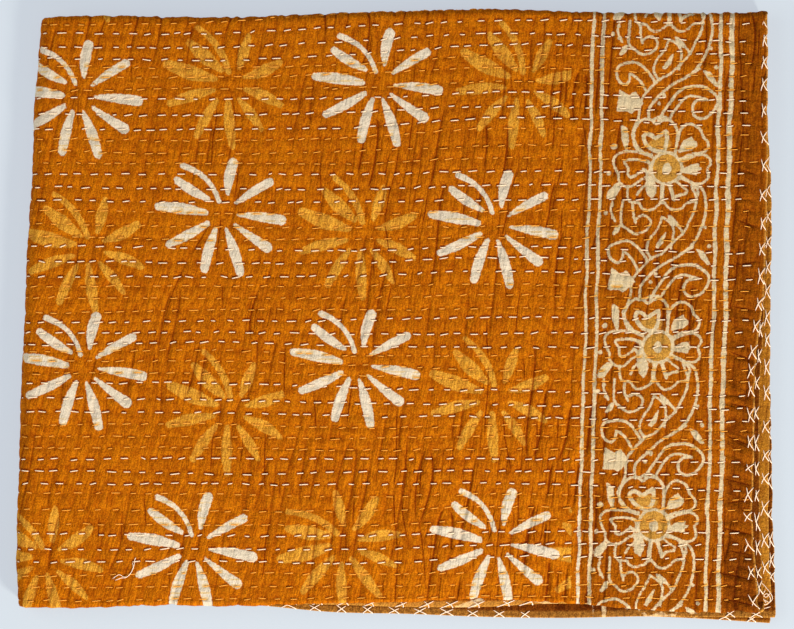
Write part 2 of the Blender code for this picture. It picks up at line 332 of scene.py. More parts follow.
# %% Table of stitch lines
StitchLine = namedtuple("StitchLine", "left inner_left middle inner_right right")
LINE_PLACES = np.array([-257.0, -145.0, -33.0, 79.0, 259.0]) * MM
STITCH_LINES = [StitchLine(*row) for row in (
    (233.6, 235.2, 243.2, 248, 244.8), (226.4, 226.4, 232, 236.8, 234.4),
    (215.2, 215.2, 220, 226.4, 220), (206.4, 204.8, 209.6, 217.6, 209.6),
    (200, 198.4, 201.6, 209.6, 202.4), (191.2, 191.2, 194.4, 199.2, 192),
    (180.8, 182.4, 182.4, 188, 180.8), (174.4, 173.6, 174.4, 179.2, 172.8),
    (161.6, 160.8, 163.2, 168, 163.2), (149.6, 149.6, 151.2, 159.2, 152),
    (141.6, 140.8, 143.2, 150.4, 144.8), (132, 129.6, 132, 136.8, 133.6),
    (122.4, 122.4, 122.4, 126.4, 123.2), (113.6, 113.6, 113.6, 116, 114.4),
    (103.2, 101.6, 101.6, 104.8, 104), (92.8, 91.2, 91.2, 92.8, 93.6),
    (84.8, 82.4, 81.6, 84, 84), (73.6, 71.2, 70.4, 72, 72), (63.2, 60.8, 61.6, 63.2, 60),
    (56, 53.6, 52.8, 56, 50.4), (44, 42.4, 42.4, 47.2, 40), (32, 31.2, 32, 36, 28.8),
    (24, 24, 24, 25.6, 20), (14.4, 14.4, 14.4, 16.8, 12.8), (2.4, 4.8, 4.8, 6.4, 4.8),
    (-4.8, -4, -3.2, -0.8, -4), (-13.6, -12.8, -14.4, -14.4, -12.8),
    (-23.2, -20.8, -24, -24.8, -24.8), (-28.8, -27.2, -31.2, -32, -33.6),
    (-36, -36, -39.2, -43.2, -43.2), (-45.6, -45.6, -47.2, -51.2, -52.8),
    (-53.6, -53.6, -57.6, -59.2, -64), (-65.6, -67.2, -69.6, -71.2, -74.4),
    (-76.8, -77.6, -80, -80.8, -84.8), (-87.2, -86.4, -89.6, -87.2, -92),
    (-96.8, -96.8, -97.6, -96, -99.2), (-105.6, -105.6, -107.2, -106.4, -107.2),
    (-114.4, -113.6, -114.4, -114.4, -117.6), (-124, -126.4, -124.8, -124, -128),
    (-134.4, -134.4, -135.2, -133.6, -140), (-141.6, -142.4, -144.8, -142.4, -147.2),
    (-155.2, -156, -156, -152.8, -155.2), (-166.4, -167.2, -167.2, -164, -164.8),
    (-174.4, -176, -176, -172.8, -173.6), (-187.2, -186.4, -187.2, -183.2, -183.2),
    (-196.8, -196, -198.4, -192.8, -195.2), (-208, -205.6, -207.2, -205.6, -204.8),
    (-217.6, -216, -216.8, -215.2, -216), (-228, -226.4, -225.6, -224.8, -227.2),
)]
LINE_COUNT = len(STITCH_LINES)
LINE_STEP = 9.8 * MM                # between lines that the table doesn't reach
LINE_WANDER = 0.45 * MM
IS_WHITE = (np.arange(LINE_COUNT) + 5) % 6 < 3      # three white, then three ochre
print("stitch lines:", IS_WHITE.sum(), "white,", (~IS_WHITE).sum(), "ochre")


# %% Heights of the stitch lines
def line_heights(x):
    """For each line, its height on the cloth at x: the table's curve, and a small slow wander."""
    heights = [smooth(LINE_PLACES, np.array(line) * MM, x) for line in STITCH_LINES]
    wander = [LINE_WANDER * hills(x, x * 0 + k * 90 * MM, 45 * MM, 50 * MM, 8)
              for k in range(LINE_COUNT)]
    return np.stack(heights) + np.stack(wander)


Sewing = namedtuple("Sewing", "between line off")


def sewing_at(x, y):
    """Where a place lies among the stitch lines. Between is its place counted down from the first
    line: 2.5 is midway between the third and the fourth. Past the table's ends the lines go on at
    an even step. Line is the nearest line, and off is how far the place is above it."""
    heights = line_heights(x)
    above = np.clip((heights >= y).sum(0) - 1, 0, LINE_COUNT - 2)
    upper, lower = (np.take_along_axis(heights, (above + i)[None], 0)[0] for i in (0, 1))
    place_between = above + (upper - y) / (upper - lower)
    place_between = np.where(y > heights[0], (heights[0] - y) / LINE_STEP, place_between)
    past_last = LINE_COUNT - 1 + (heights[-1] - y) / LINE_STEP
    place_between = np.where(y < heights[-1], past_last, place_between)
    line = np.clip(np.round(place_between), 0, LINE_COUNT - 1).astype(int)
    return Sewing(place_between, line, y - np.take_along_axis(heights, line[None], 0)[0])


# %% [markdown]
# A running stitch is made by eye: each is a little longer or shorter, and starts where the needle
# happens to come up. All of them are worked out as one table of numbers, a row for each line, from
# the hem on top, round the left fold, to the hem underneath.

# %% Where each running stitch is
STITCH_PITCH = 12.6 * MM
HALF_WIDTH = 0.594                  # of the flat cloth, from the hem to the left fold, in metres
STITCHES = 94
draw = np.random.default_rng(11)
PITCH_UNEVEN, PITCH_RANGE = 0.17, (0.55, 1.6)       # shares of the pitch
LENGTH, LENGTH_UNEVEN, LENGTH_RANGE = 6.2, 1.2, (2.6, 8.8)      # of a stitch, in millimetres
LIFT_UNEVEN, TILT, TILT_UNEVEN = 0.3, 0.22, 0.28    # of a stitch off its line, in millimetres
MOST_OF_GAP, FIRST_UNEVEN = 0.76, 9
steps = STITCH_PITCH * np.clip(draw.normal(1, PITCH_UNEVEN, (LINE_COUNT, STITCHES)), *PITCH_RANGE)
first_places = np.linspace(298, 291, LINE_COUNT)[:, None] * MM
STITCH_X = (first_places - draw.uniform(0, FIRST_UNEVEN, (LINE_COUNT, 1)) * MM
            - np.cumsum(steps, axis=1))
gaps = np.pad(steps[:, 1:], ((0, 0), (1, 1)), constant_values=STITCH_PITCH)
most = MOST_OF_GAP * np.minimum(gaps[:, :-1], gaps[:, 1:])
lengths = np.clip(draw.normal(LENGTH, LENGTH_UNEVEN, STITCH_X.shape), *LENGTH_RANGE) * MM
STITCH_LONG = np.minimum(lengths, most)
STITCH_LIFT = draw.normal(0, LIFT_UNEVEN, STITCH_X.shape) * MM
STITCH_TILT = draw.normal(TILT, TILT_UNEVEN, STITCH_X.shape) * MM
ROW_KEY = 10.0                      # keeps one line's stitches apart from the next line's
stitch_keys = (np.arange(LINE_COUNT)[:, None] * ROW_KEY - STITCH_X).ravel()
print("running stitches:", STITCH_X.size, "over", round(float(np.ptp(STITCH_X)), 3), "m")


def nearest_stitch(line, x):
    """The number of a line's stitch that is nearest to x, found by its sorted key, which is the
    line times ROW_KEY, less x."""
    key = np.clip(line, 0, LINE_COUNT - 1) * ROW_KEY - x
    after = np.clip(np.searchsorted(stitch_keys, key), 1, stitch_keys.size - 1)
    return np.where(abs(stitch_keys[after] - key) < abs(stitch_keys[after - 1] - key),
                    after, after - 1)


def past_stitch(line, x):
    """How far x is past the end of the nearest stitch of a line, negative along the stitch."""
    stitch = nearest_stitch(line, x)
    return abs(x - STITCH_X.ravel()[stitch]) - 0.5 * STITCH_LONG.ravel()[stitch]


def off_thread(sewing, x):
    """How far a place is above the nearest stitch's own thread, which is lifted and tilted a
    little from its line."""
    stitch = nearest_stitch(sewing.line, x)
    way = (x - STITCH_X.ravel()[stitch]) / (0.5 * STITCH_LONG.ravel()[stitch])
    return (sewing.off - STITCH_LIFT.ravel()[stitch]
            - STITCH_TILT.ravel()[stitch] * np.clip(way, -1.3, 1.3))


# %% [markdown]
# ## The low relief of the cloth
# The thread draws the cloth into a shallow furrow along each line, deepest at each stitch, and the
# cloth between puffs up. The washed cotton also shrinks, so it puckers across the lines in short
# upright ripples. A few long creases are left from folding: they are listed in a table, each from
# one point to another, with a depth and a width.

# %% Table of long creases
Crease = namedtuple("Crease", "x0 y0 x1 y1 deep half")     # in millimetres
CREASES = [Crease(*row) for row in (
    (6, 222, 5, 238, 0.6, 1.8), (-2, 216, -3, 186, 0.9, 1.8), (-3, 192, 0, 160, 0.7, 1.8),
    (15, 216, 14, 172, 0.7, 1.9), (14, 176, 10, 126, 1.3, 1.9), (2, 134, -3, 100, 1.2, 1.8),
    (-3, 106, -9, 74, 1.3, 1.9), (-9, 78, -6, 46, 1, 1.9), (-2, 30, -9, -6, 0.9, 1.9),
    (28, 230, 27, 196, 0.7, 1.7), (45, 208, 46, 174, 0.5, 1.7), (26, 104, 20, 66, 0.9, 1.9),
    (20, 70, 19, 36, 0.8, 1.8), (38, 102, 30, 66, 0.6, 1.8), (73, 238, 72, 210, 0.8, 1.6),
    (92, 210, 92, 160, 0.7, 1.8), (102, 192, 104, 146, 0.9, 1.8), (98, 122, 92, 94, 0.9, 1.8),
    (92, 98, 84, 60, 0.9, 1.9), (84, 52, 88, 12, 1.2, 1.9), (99, 28, 95, -24, 0.9, 1.7),
    (129, 170, 124, 130, 1.1, 1.8), (133, 128, 128, 98, 1, 1.8), (128, 100, 123, 76, 1.1, 1.8),
    (133, 88, 131, 56, 1.1, 1.8), (131, 62, 126, 8, 1.2, 1.9), (120, 126, 114, 94, 0.7, 1.8),
    (108, 216, 107, 190, 0.7, 1.6), (137, 192, 136, 168, 0.9, 1.6),
    (149, 178, 147, 162, 0.8, 1.5), (150, 158, 152, 134, 0.9, 1.5),
    (-16, 220, -15, 200, 0.6, 1.7), (-58, 144, -62, 84, 0.8, 1.8), (-64, 238, -63, 214, 0.6, 1.6),
    (-23, 98, -24, 72, 0.6, 1.8), (-18, 48, -18, 28, 0.8, 1.6), (-65, -58, -64, -98, 0.9, 1.7),
    (-35, -52, -40, -90, 1.1, 1.8), (-45, -88, -46, -108, 0.7, 1.7),
    (-34, -144, -34, -168, 0.9, 1.6), (-40, -168, -41, -198, 0.8, 1.7),
    (-28, -2, -31, -22, 0.8, 1.7), (2, -70, -2, -140, 1.3, 1.9), (-2, -136, 1, -196, 1.2, 1.9),
    (1, -190, -1, -234, 1.3, 1.9), (9, -98, 4, -146, 1.2, 1.9), (4, -142, 9, -182, 1.1, 1.9),
    (20, -104, 18, -156, 0.9, 1.8), (18, -152, 24, -228, 0.8, 1.9), (40, 4, 38, -24, 0.7, 1.7),
    (49, -84, 41, -142, 0.7, 1.8), (45, -152, 46, -174, 0.6, 1.7), (72, 4, 74, -40, 0.9, 1.9),
    (74, -36, 71, -100, 1.1, 1.9), (102, -32, 103, -54, 0.9, 1.7), (85, -78, 92, -128, 1.1, 1.9),
    (99, -134, 98, -172, 1.1, 1.8), (113, -82, 111, -118, 1.1, 1.8),
    (130, -78, 128, -104, 0.9, 1.7), (139, -98, 138, -120, 0.7, 1.6),
    (130, -202, 129, -228, 0.9, 1.7), (73, -158, 75, -182, 0.8, 1.6),
    (-50, -202, -50, -232, 0.7, 1.8), (-11, -202, -10, -230, 0.7, 1.7),
    (-140, 80, -145, 42, 1.3, 1.9), (-148, 76, -166, 46, 0.8, 2.2),
    (-166, 50, -187, -6, 0.8, 2.2), (-144, 172, -147, 118, 1.1, 1.8),
    (-132, 182, -128, 150, 0.8, 1.8), (-124, 124, -130, 92, 1.1, 1.8),
    (-255, 178, -254, 146, 0.8, 1.9), (-253, 72, -257, 28, 0.8, 1.9),
    (-212, 212, -212, 182, 0.7, 1.6), (-192, 178, -196, 150, 0.6, 1.8),
    (-138, 28, -139, 4, 0.8, 1.7), (-98, 104, -100, 80, 0.7, 1.7), (-80, 104, -83, 66, 0.7, 1.8),
    (-193, -26, -195, -48, 0.8, 1.7), (-186, -56, -189, -84, 0.6, 1.8),
    (-117, -46, -118, -70, 0.8, 1.6), (-88, -16, -89, -76, 0.9, 1.8),
    (-123, -98, -124, -118, 0.8, 1.8), (-105, -88, -105, -144, 1.1, 1.8),
    (-93, -122, -94, -148, 0.8, 1.6), (-100, -154, -108, -214, 1.2, 2),
    (-144, -82, -149, -130, 0.9, 1.8), (-158, -142, -156, -178, 0.8, 1.7),
    (-201, -142, -200, -170, 1, 1.6), (-237, -156, -239, -184, 0.8, 1.7),
    (-218, -156, -222, -188, 0.9, 1.8), (-182, -198, -182, -224, 0.7, 1.7),
    (-270, -142, -270, -184, 0.7, 1.8), (-232, -62, -231, -108, 0.7, 1.8),
    (-247, -6, -247, -34, 0.7, 1.7), (222, 74, 221, 24, 1, 1.4), (189, 32, 187, -2, 0.9, 1.4),
    (174, 24, 174, 2, 0.7, 1.4), (249, 122, 247, 96, 0.9, 1.4), (227, -32, 228, -64, 0.8, 1.4),
    (185, -108, 185, -144, 0.8, 1.4), (236, -2, 236, -28, 0.8, 1.4),
    (194, -46, 195, -84, 0.6, 1.4), (291, 234, 290, 200, 1, 1.8),
    (289, 206, 285, 174, 0.9, 1.8), (275, 240, 276, 184, 1.5, 1.3),
    (277, 192, 279, 138, 1.7, 1.4), (278, 144, 274, 94, 1.7, 1.4), (274, 98, 270, 56, 1.6, 1.4),
    (276, 60, 271, 20, 1.6, 1.4), (271, 24, 266, -8, 1.4, 1.4), (283, 88, 281, 66, 1, 1.6),
    (263, -22, 262, -64, 1.1, 1.3), (263, -130, 262, -230, 0.9, 1.4),
    (262, -170, 288, -176, 1.5, 1.5), (256, -205, 287, -212, 1.6, 1.6),
    (258, -226, 288, -232, 1.3, 1.5), (262, -130, 286, -136, 1.3, 1.5),
    (266, -96, 284, -104, 1.2, 1.5), (268, 40, 292, 44, 1, 1.5),
    (264, -150, 284, -148, 1.1, 1.4), (266, -188, 286, -192, 1.2, 1.4),
    (267, -70, 286, -74, 1, 1.4), (266, -28, 288, -36, 1, 1.4), (268, 8, 290, 4, 0.9, 1.4),
    (272, 78, 292, 70, 0.9, 1.4), (276, 118, 292, 112, 0.9, 1.4),
    (-300, -50, -286, -226, 0.5, 2.6),
)]
print("creases:", len(CREASES))


# %% The relief
FURROW, STITCH_DIP, GROOVE = 0.4 * MM, 0.3 * MM, 0.5 * MM
PUCKER, RIPPLE, UNEVEN = 1.5 * MM, 0.6 * MM, 0.5 * MM
SOFT_FROM, SOFT_MORE = 1.0 * MM, 0.7 * MM       # valleys deeper than the first fill up softly
LEVEL_WRINKLE = 3.0 * MM            # in the margin, where the hem holds the cloth back
GROOVE_HALF = 0.085                 # of the way from one line to the next
CREASE_WANDER, CREASE_REACH = 1.2 * MM, 3.0     # the second in millimetres beside a crease
LEAN, LEAN_MORE = 0.14, 0.3         # of the puckers, to the right; the second for each metre
Pucker = namedtuple("Pucker", "wide long seed half deep")
PUCKERS = (Pucker(10 * MM, 44 * MM, 31, 0.7, 1.15), Pucker(5.5 * MM, 24 * MM, 32, 0.6, 0.45))


def each_crease(x, y):
    """For each long crease: its row, and for each place its share of the way along, its distance
    in millimetres and the side it lies on."""
    wander = CREASE_WANDER * hills(y, x, 20 * MM, 30 * MM, 3)
    for crease in CREASES:
        dx, dy = crease.x1 - crease.x0, crease.y1 - crease.y0
        over, up = (x - wander) / MM - crease.x0, y / MM - crease.y0
        t = np.clip((over * dx + up * dy) / (dx * dx + dy * dy), 0, 1)
        yield crease, t, np.hypot(over - t * dx, up - t * dy), np.sign(over * dy - up * dx)


def crease_depth(x, y):
    """The long creases: troughs with a bell-curve section, which shallow out towards both ends."""
    return MM * sum(crease.deep * np.exp(-(away / crease.half) ** 2)
                    * (0.4 + 0.6 * np.sin(np.pi * t)) for crease, t, away, _ in each_crease(x, y))


def crease_lines(x, y):
    """How far a place is beside its nearest crease, in millimetres and with a sign, and how deep
    that crease is there. The depth is nothing at its ends and further off, where another one may
    be the nearest."""
    beside, deep = np.full(x.shape, 9.0), np.zeros(x.shape)
    for crease, t, away, side in each_crease(x, y):
        nearer = away < np.abs(beside)
        beside = np.where(nearer, side * away, beside)
        deep = np.where(nearer, crease.deep * np.sqrt(np.abs(np.sin(np.pi * t))), deep)
    return beside, deep * ease(np.abs(beside), CREASE_REACH, CREASE_REACH - 1)


def leaning(x, y):
    """X measured along the puckers' lean. They lean to the right, most of all on the left."""
    return x - LEAN * y + LEAN_MORE * x * y


def upright_valley(across, y, wide, long, seed):
    """A field of smooth random hills that is zero along the valleys. It is divided by how steep it
    is across, so that a valley is as wide in one place as in another. The second value is how deep
    the valley is: nothing where the field is flat, or where its zero line turns level."""
    here, beside = (hills(across + k * wide, y, wide, long, seed) for k in (0, 0.05))
    steep = np.abs(beside - here) / 0.06
    return here / np.maximum(steep, 0.45), ease(steep, 0.3, 0.95)


def pucker_fields(x, y):
    """The upright puckers' valleys, of a wide and a narrow kind: both fields and both depths. They
    are weaker on the left."""
    strong = 0.68 + 0.36 * hills(x, y, 50 * MM, 60 * MM, 33)
    strong *= 0.72 + 0.28 * ease(x, -240 * MM, -60 * MM)
    (wide, wide_deep), (narrow, narrow_deep) = (
        upright_valley(leaning(x, y), y, kind.wide, kind.long, kind.seed) for kind in PUCKERS)
    return wide, narrow, strong * wide_deep, strong * narrow_deep


def pucker_depth(x, y):
    """Upright puckers: sharp valleys with rounded backs between them."""
    wide, narrow, wide_deep, narrow_deep = pucker_fields(x, y)
    return sum(kind.deep * deep * (1 - np.minimum(np.abs(field) / kind.half, 1) ** 0.6)
               for kind, field, deep in zip(PUCKERS, (wide, narrow), (wide_deep, narrow_deep)))


def level_wrinkles(x, y):
    """Short level folds in the margin by the hem, from -0.6 in their valleys to 0.4."""
    place = ease(x, 256 * MM, 268 * MM) * ease(x, 292 * MM, 284 * MM)
    folds = np.abs(hills(x, y + 0.25 * x, 24 * MM, 8 * MM, 61)) ** 0.7 - 0.6
    return place * (0.5 + 0.5 * ease(y, 60 * MM, -120 * MM)) * folds


def relief(x, y, sewing):
    """Height of the printed face above the plain cloth, at a place on the flat cloth. Furrows: the
    sine of the place between the lines. Dips: the pull of the nearest stitches above and below,
    mixed by the place between. A groove lies under each stitch. Puckers, ripples and unevenness:
    random hills. The layers below hold the deepest valleys up."""
    upper = np.floor(sewing.between)
    mix = ease(sewing.between - upper, 0, 1)
    puff = np.abs(np.sin(np.pi * sewing.between)) ** 0.7
    uneven_puff = puff * (0.8 + 0.35 * hills(x, y, 18 * MM, 12 * MM, 21))
    pull = [1 - ease(past_stitch(upper + i, x), -1.0 * MM, 2.5 * MM) for i in (0, 1)]
    dip = ((1 - mix) * pull[0] + mix * pull[1]) * (1 - 0.4 * puff)
    beside = 1 - ease(past_stitch(sewing.line, x), -0.2 * MM, 1.0 * MM)
    groove = beside * np.exp(-((sewing.between - sewing.line) / GROOVE_HALF) ** 2)
    ripple = hills(leaning(x, y), y, 4.6 * MM, 15 * MM, 41)
    uneven = hills(x, y, 75 * MM, 60 * MM, 51)
    high = (LEVEL_WRINKLE * level_wrinkles(x, y) + FURROW * uneven_puff - STITCH_DIP * dip
            - GROOVE * groove - PUCKER * pucker_depth(x, y) + RIPPLE * ripple + UNEVEN * uneven
            - crease_depth(x, y))
    past_soft = np.maximum(-SOFT_FROM - high, 0)
    return np.where(past_soft > 0, -SOFT_FROM - SOFT_MORE * np.tanh(past_soft / SOFT_MORE), high)


# %% [markdown]
# ## The block print
# The field is printed with one daisy block, set down again and again by hand, in cream and in a
# pale ochre. A picture of the cloth would be the quick way to have it, but a print is only a few
# brush-like strokes. So each petal is a row in a short table, in millimetres from the middle of
# the block: where it starts, where it ends, and how wide it is at its root, middle and tip.
# A stroke is stored on the cloth as a distance in millimetres, negative inside it. The shader cuts
# that distance at zero with a little noise, which gives the ragged edge of a hand-cut block.

# %% Distance to a brush stroke
FAR = 60.0                          # millimetres; beyond this no distance is needed


def stroke(x, y, points, half_widths):
    """Distance to a line through points, less its half width, which runs evenly from each point to
    the next: the least over its pieces."""
    best = np.full(x.shape, FAR)
    half_widths = np.broadcast_to(half_widths, (len(points),))
    for (x0, y0), (x1, y1), w0, w1 in zip(points, points[1:], half_widths, half_widths[1:]):
        dx, dy = x1 - x0, y1 - y0
        t = np.clip(((x - x0) * dx + (y - y0) * dy) / (dx * dx + dy * dy), 0, 1)
        best = np.minimum(best, np.hypot(x - x0 - t * dx, y - y0 - t * dy) - w0 - t * (w1 - w0))
    return best


def rounded_line(points, pieces=4):
    """The same line with its corners rounded: a smooth curve through the points."""
    points = np.asarray(points, dtype=float)
    keys = np.arange(len(points), dtype=float)
    at = np.linspace(0, len(points) - 1, pieces * (len(points) - 1) + 1)
    return np.stack([smooth(keys, points[:, i], at) for i in (0, 1)], axis=1)


def filled(x, y, corners):
    """Distance to a filled shape: that to its nearest side, negative where a line drawn to the
    right crosses the outline an odd number of times."""
    corners = np.asarray(corners, dtype=float)
    best, inside = np.full(x.shape, FAR), np.zeros(x.shape, bool)
    for (x0, y0), (x1, y1) in zip(corners, np.roll(corners, -1, axis=0)):
        best = np.minimum(best, stroke(x, y, [(x0, y0), (x1, y1)], 0.0))
        if y0 != y1:
            crosses = (y0 > y) != (y1 > y)
            inside ^= crosses & (x < x0 + (y - y0) * (x1 - x0) / (y1 - y0))
    return np.where(inside, -best, best)


# %% The daisy block and where it is printed
Petal = namedtuple("Petal", "x0 y0 x1 y1 root middle tip bend")
CREAM_PETALS = [Petal(*row) for row in (
    (5.4, 15, 11.5, 39.7, 1.5, 4.1, 4.1, 1.2), (11, 7.5, 39.7, 22.3, 1.3, 3.3, 3.5, 0.4),
    (12, -2, 46.5, -8.7, 1, 3.7, 4.1, 0.6), (8.5, -9, 33.4, -29.6, 1.2, 3, 4.3, -0.4),
    (1.8, -12.5, 10.5, -48.2, 1.2, 4.2, 3.3, 0.8), (-6.3, -12, -17.7, -43, 1.8, 4.1, 3.4, -1),
    (-12.5, -7, -44.5, -21.2, 2.2, 3.8, 2.9, 0.6), (-13.5, 1.8, -50.9, 9.6, 2.4, 4.5, 3, -0.8),
    (-10, 12.2, -34.1, 29.4, 1.8, 3.8, 2.9, 0.9), (-2, 9.8, -28.8, 40.5, 1.8, 1.8, 2.5, -5.6),
)]
OCHRE_PETALS = [Petal(*row) for row in (
    (6.4, 12.5, 15.3, 38, 1.6, 4.5, 2.2, 0), (10.6, 5.2, 38.6, 15.4, 1.5, 4.8, 3, -1.2),
    (10.4, -4.4, 38.6, -18.6, 1.6, 4.6, 2.4, 1.2), (5.2, -12, 22.2, -37.6, 1.6, 4.1, 1.8, 0.8),
    (-3.6, -12.4, -1.8, -49.8, 1.8, 4.4, 2.5, -0.6),
    (-12.6, -12, -29.8, -39.6, 1.8, 4.2, 2.7, -0.8),
    (-14.8, -4, -50.4, -13, 1.8, 4.6, 2.6, -0.8), (-13, 5, -50.4, 18.4, 2.2, 6, 3.6, 1),
    (-8, 12, -32.4, 35.4, 2.2, 5.6, 2.8, 0.6), (-2, 10, -25, 46.6, 2.4, 2.7, 2.2, -4.2),
)]

Block = namedtuple("Block", "x y petals turn")
BLOCKS = [Block(*row) for row in (
    (-253.7, 176.2, "cream", 5.6), (-131.5, 185.4, "ochre", 2.7), (-13.4, 185.9, "cream", 4.3),
    (102.1, 185, "ochre", -8.7), (-244, 53.8, "ochre", 6), (-138.9, 82, "cream", 4.3),
    (-24.8, 64.8, "ochre", 0), (79.4, 72.8, "cream", 1.3), (-250, -40.9, "cream", 1.9),
    (-131, -76.4, "ochre", -2.6), (-31.2, -38.5, "cream", 0), (80.6, -65, "ochre", 0),
    (-278.4, -194.4, "ochre", 14), (-161.4, -185.1, "cream", 1), (-39.9, -181.4, "ochre", 34),
    (80.6, -181.4, "cream", -1), (-236, 287, "ochre", 8),
)]
REPEAT_X, REPEAT_Y = 454.0, 490.0       # how far on the same set of blocks is printed again
PETALS = {"cream": CREAM_PETALS, "ochre": OCHRE_PETALS}
REACH = 62.0                            # of a block, from its middle


def daisy(x, y, petals):
    """Distance to the nearest petal. A petal is a bent stroke: its middle is moved sideways."""
    best = np.full(x.shape, FAR)
    share = np.linspace(0, 1, 7)
    for p in petals:
        away = np.array([-(p.y1 - p.y0), p.x1 - p.x0]) / np.hypot(p.x1 - p.x0, p.y1 - p.y0)
        line = (np.outer(1 - share, (p.x0, p.y0)) + np.outer(share, (p.x1, p.y1))
                + np.outer(p.bend * 4 * share * (1 - share), away))
        widths = smooth(np.array([0, 0.5, 1.0]), np.array([p.root, p.middle, p.tip]), share)
        best = np.minimum(best, stroke(x, y, line, widths))
    return best


def field_print(x, y, colour):
    """Distance to the daisies of one colour, over the whole cloth. Each block is worked out only
    for the points within its reach, and the set of blocks repeats both ways."""
    best = np.full(x.shape, FAR)
    for block in (b for b in BLOCKS if b.petals == colour):
        dx = (x - block.x + REPEAT_X / 2) % REPEAT_X - REPEAT_X / 2
        dy = (y - block.y + REPEAT_Y / 2) % REPEAT_Y - REPEAT_Y / 2
        if block is BLOCKS[-1]:                 # the last one is printed only once
            dy = y - block.y
        near = np.hypot(dx, dy) < REACH
        c, s = math.cos(math.radians(block.turn)), math.sin(math.radians(block.turn))
        u, v = c * dx[near] + s * dy[near], c * dy[near] - s * dx[near]
        best[near] = np.minimum(best[near], daisy(u, v, PETALS[colour]))
    return best


# %% [markdown]
# ## The printed border
# A border runs down the side near the hems: two rails on each side, and between them a vine with a
# six-petalled flower at every repeat. It is a common block-print border, so it is charted here as
# strokes and filled shapes of one repeat, in millimetres from the middle of its flower.

# %% The flower of the border
BORDER_REPEAT = 143.2
BORDER_FLOWER_Y = -24.8                 # of one of its flowers
MIDDLE_KEYS = np.array([-238.0, -168.0, -24.8, 118.4, 245.0])
MIDDLE_X = np.array([204.6, 206.4, 209.6, 216.8, 221.4])      # of the vine, which leans
RAILS = ((158.4, 145.4, 1.25), (166.6, 154.6, 1.35), (260.8, 247.4, 1.45), (269.6, 257.8, 1.85))
RAIL_TOP, RAIL_BOTTOM = 240.0, -236.0

DISC, RING, LINE = 4.8, 12.3, 1.15      # radii and half width of the printed line
DISC_SLIM = 1.3                         # the disc is higher than wide

Vine = namedtuple("Vine", "half points")
PETAL_LINES = [Vine(*row) for row in (
    (0.95, ((-12.4, 8.9), (-22.4, 12.3), (-31.7, 12.9), (-39.7, 10.9), (-43, 5.6), (-41, -1.1),
     (-38.4, -5.1), (-37.7, -10.4), (-33, -14.4), (-26.4, -14.4), (-19.7, -9.1), (-13, -6.4))),
    (1, ((-17.7, 5.6), (-26.4, 6.7), (-34.4, 4.9), (-30.7, -0.4), (-30.4, -5.7), (-26.4, -7.1),
     (-17.7, -1.1))),
    (1.35, ((-17.7, 5.6), (-13.4, 3.4), (-14, -4), (-18.4, -1.1))),
    (1.1, ((-12, 10), (-21, 12.9), (-26.4, 18), (-28, 27), (-25, 34), (-20, 38.5), (-14, 38.4),
     (-9.7, 35.4), (-4.4, 38.4), (1.5, 38), (6.2, 33), (7.6, 25), (6.9, 11))),
    (1.6, ((-19.7, 25.6), (-17.7, 27.8), (-13.7, 26.9), (-9.7, 24.3), (-5.1, 26.9), (-0.8, 28.9),
     (-0.2, 22.9), (-1.7, 16.3), (-5.1, 13.2), (-10.4, 13.8), (-15.7, 17.6), (-19.2, 22.4),
     (-19.7, 25.6))),
    (1.05, ((7.2, 9.9), (7.6, 18.9), (9.2, 29.6), (13.6, 34.9), (18.9, 35.6), (25.6, 31.6),
     (28.3, 25.6), (32.3, 21.6), (32.3, 16.3), (28.3, 12.6), (20.3, 11.6), (11, 7.4))),
    (1, ((11.4, 5.2), (20.3, 9.4), (28.3, 11.2), (34, 7.6), (34.9, 2.9), (32.5, -1.1),
     (34.3, -7.7), (29.6, -12), (22.9, -12), (13.6, -7.7), (10.6, -6.2))),
    (0.95, ((-29.7, -14.4), (-30.4, -21), (-28.4, -26.4), (-21, -27.7), (-19, -31), (-14.4, -33.3),
     (-7.7, -31.7), (-3.7, -27.7), (-2.4, -19.7), (-3, -12.4))),
    (1, ((-22, -21.6), (-18.4, -15.7), (-14.6, -13.4))),
    (0.95, ((-0.8, -27.7), (3.6, -32.4), (8.3, -33.7), (13.6, -31.7), (17.6, -27.7), (23.6, -26.4),
     (26.3, -21), (24.9, -15.7), (17.6, -10.4), (9, -8.4))),
    (1.6, ((-2.2, -27.7), (-2.6, -20), (-2.2, -13.6))),
    (1.4, ((2.9, -11.7), (4.9, -18.4), (6.9, -25))),
    (1.1, ((6.9, -24), (10.9, -21), (16.9, -19.7))),
    (0.8, ((7.4, -10.4), (12.6, -14.4), (17.6, -17.4))),
)]
PETALS_FILLED = (
    ((-16.2, -5.1), (-10.4, -8.4), (-7.7, -13.7), (-7.7, -19.7), (-10.4, -25), (-15, -21),
     (-15.6, -14.4)),
    ((9.6, 12.6), (12.3, 21.6), (16.3, 23.6), (18.9, 25.6), (20.3, 22.9), (23.6, 20.9),
     (22.9, 17.6), (18.9, 14.9)),
    ((12.6, -0.4), (18.9, 2.8), (25.6, 3.9), (24.3, 1), (28.6, -0.4), (25, -2), (24.3, -5.1),
     (17.6, -4.1), (12.4, -3.2)),
)


def border_flower(x, y):
    """Distance to the flower: its disc and ring, its petals' lines, and its filled shapes."""
    best = np.minimum(np.hypot(DISC_SLIM * x, y) - DISC, np.abs(np.hypot(x, y) - RING) - LINE)
    for half, points in PETAL_LINES:
        best = np.minimum(best, stroke(x, y, rounded_line(points, 3), half))
    for shape in PETALS_FILLED:
        best = np.minimum(best, filled(x, y, shape) - 0.3)
    return best


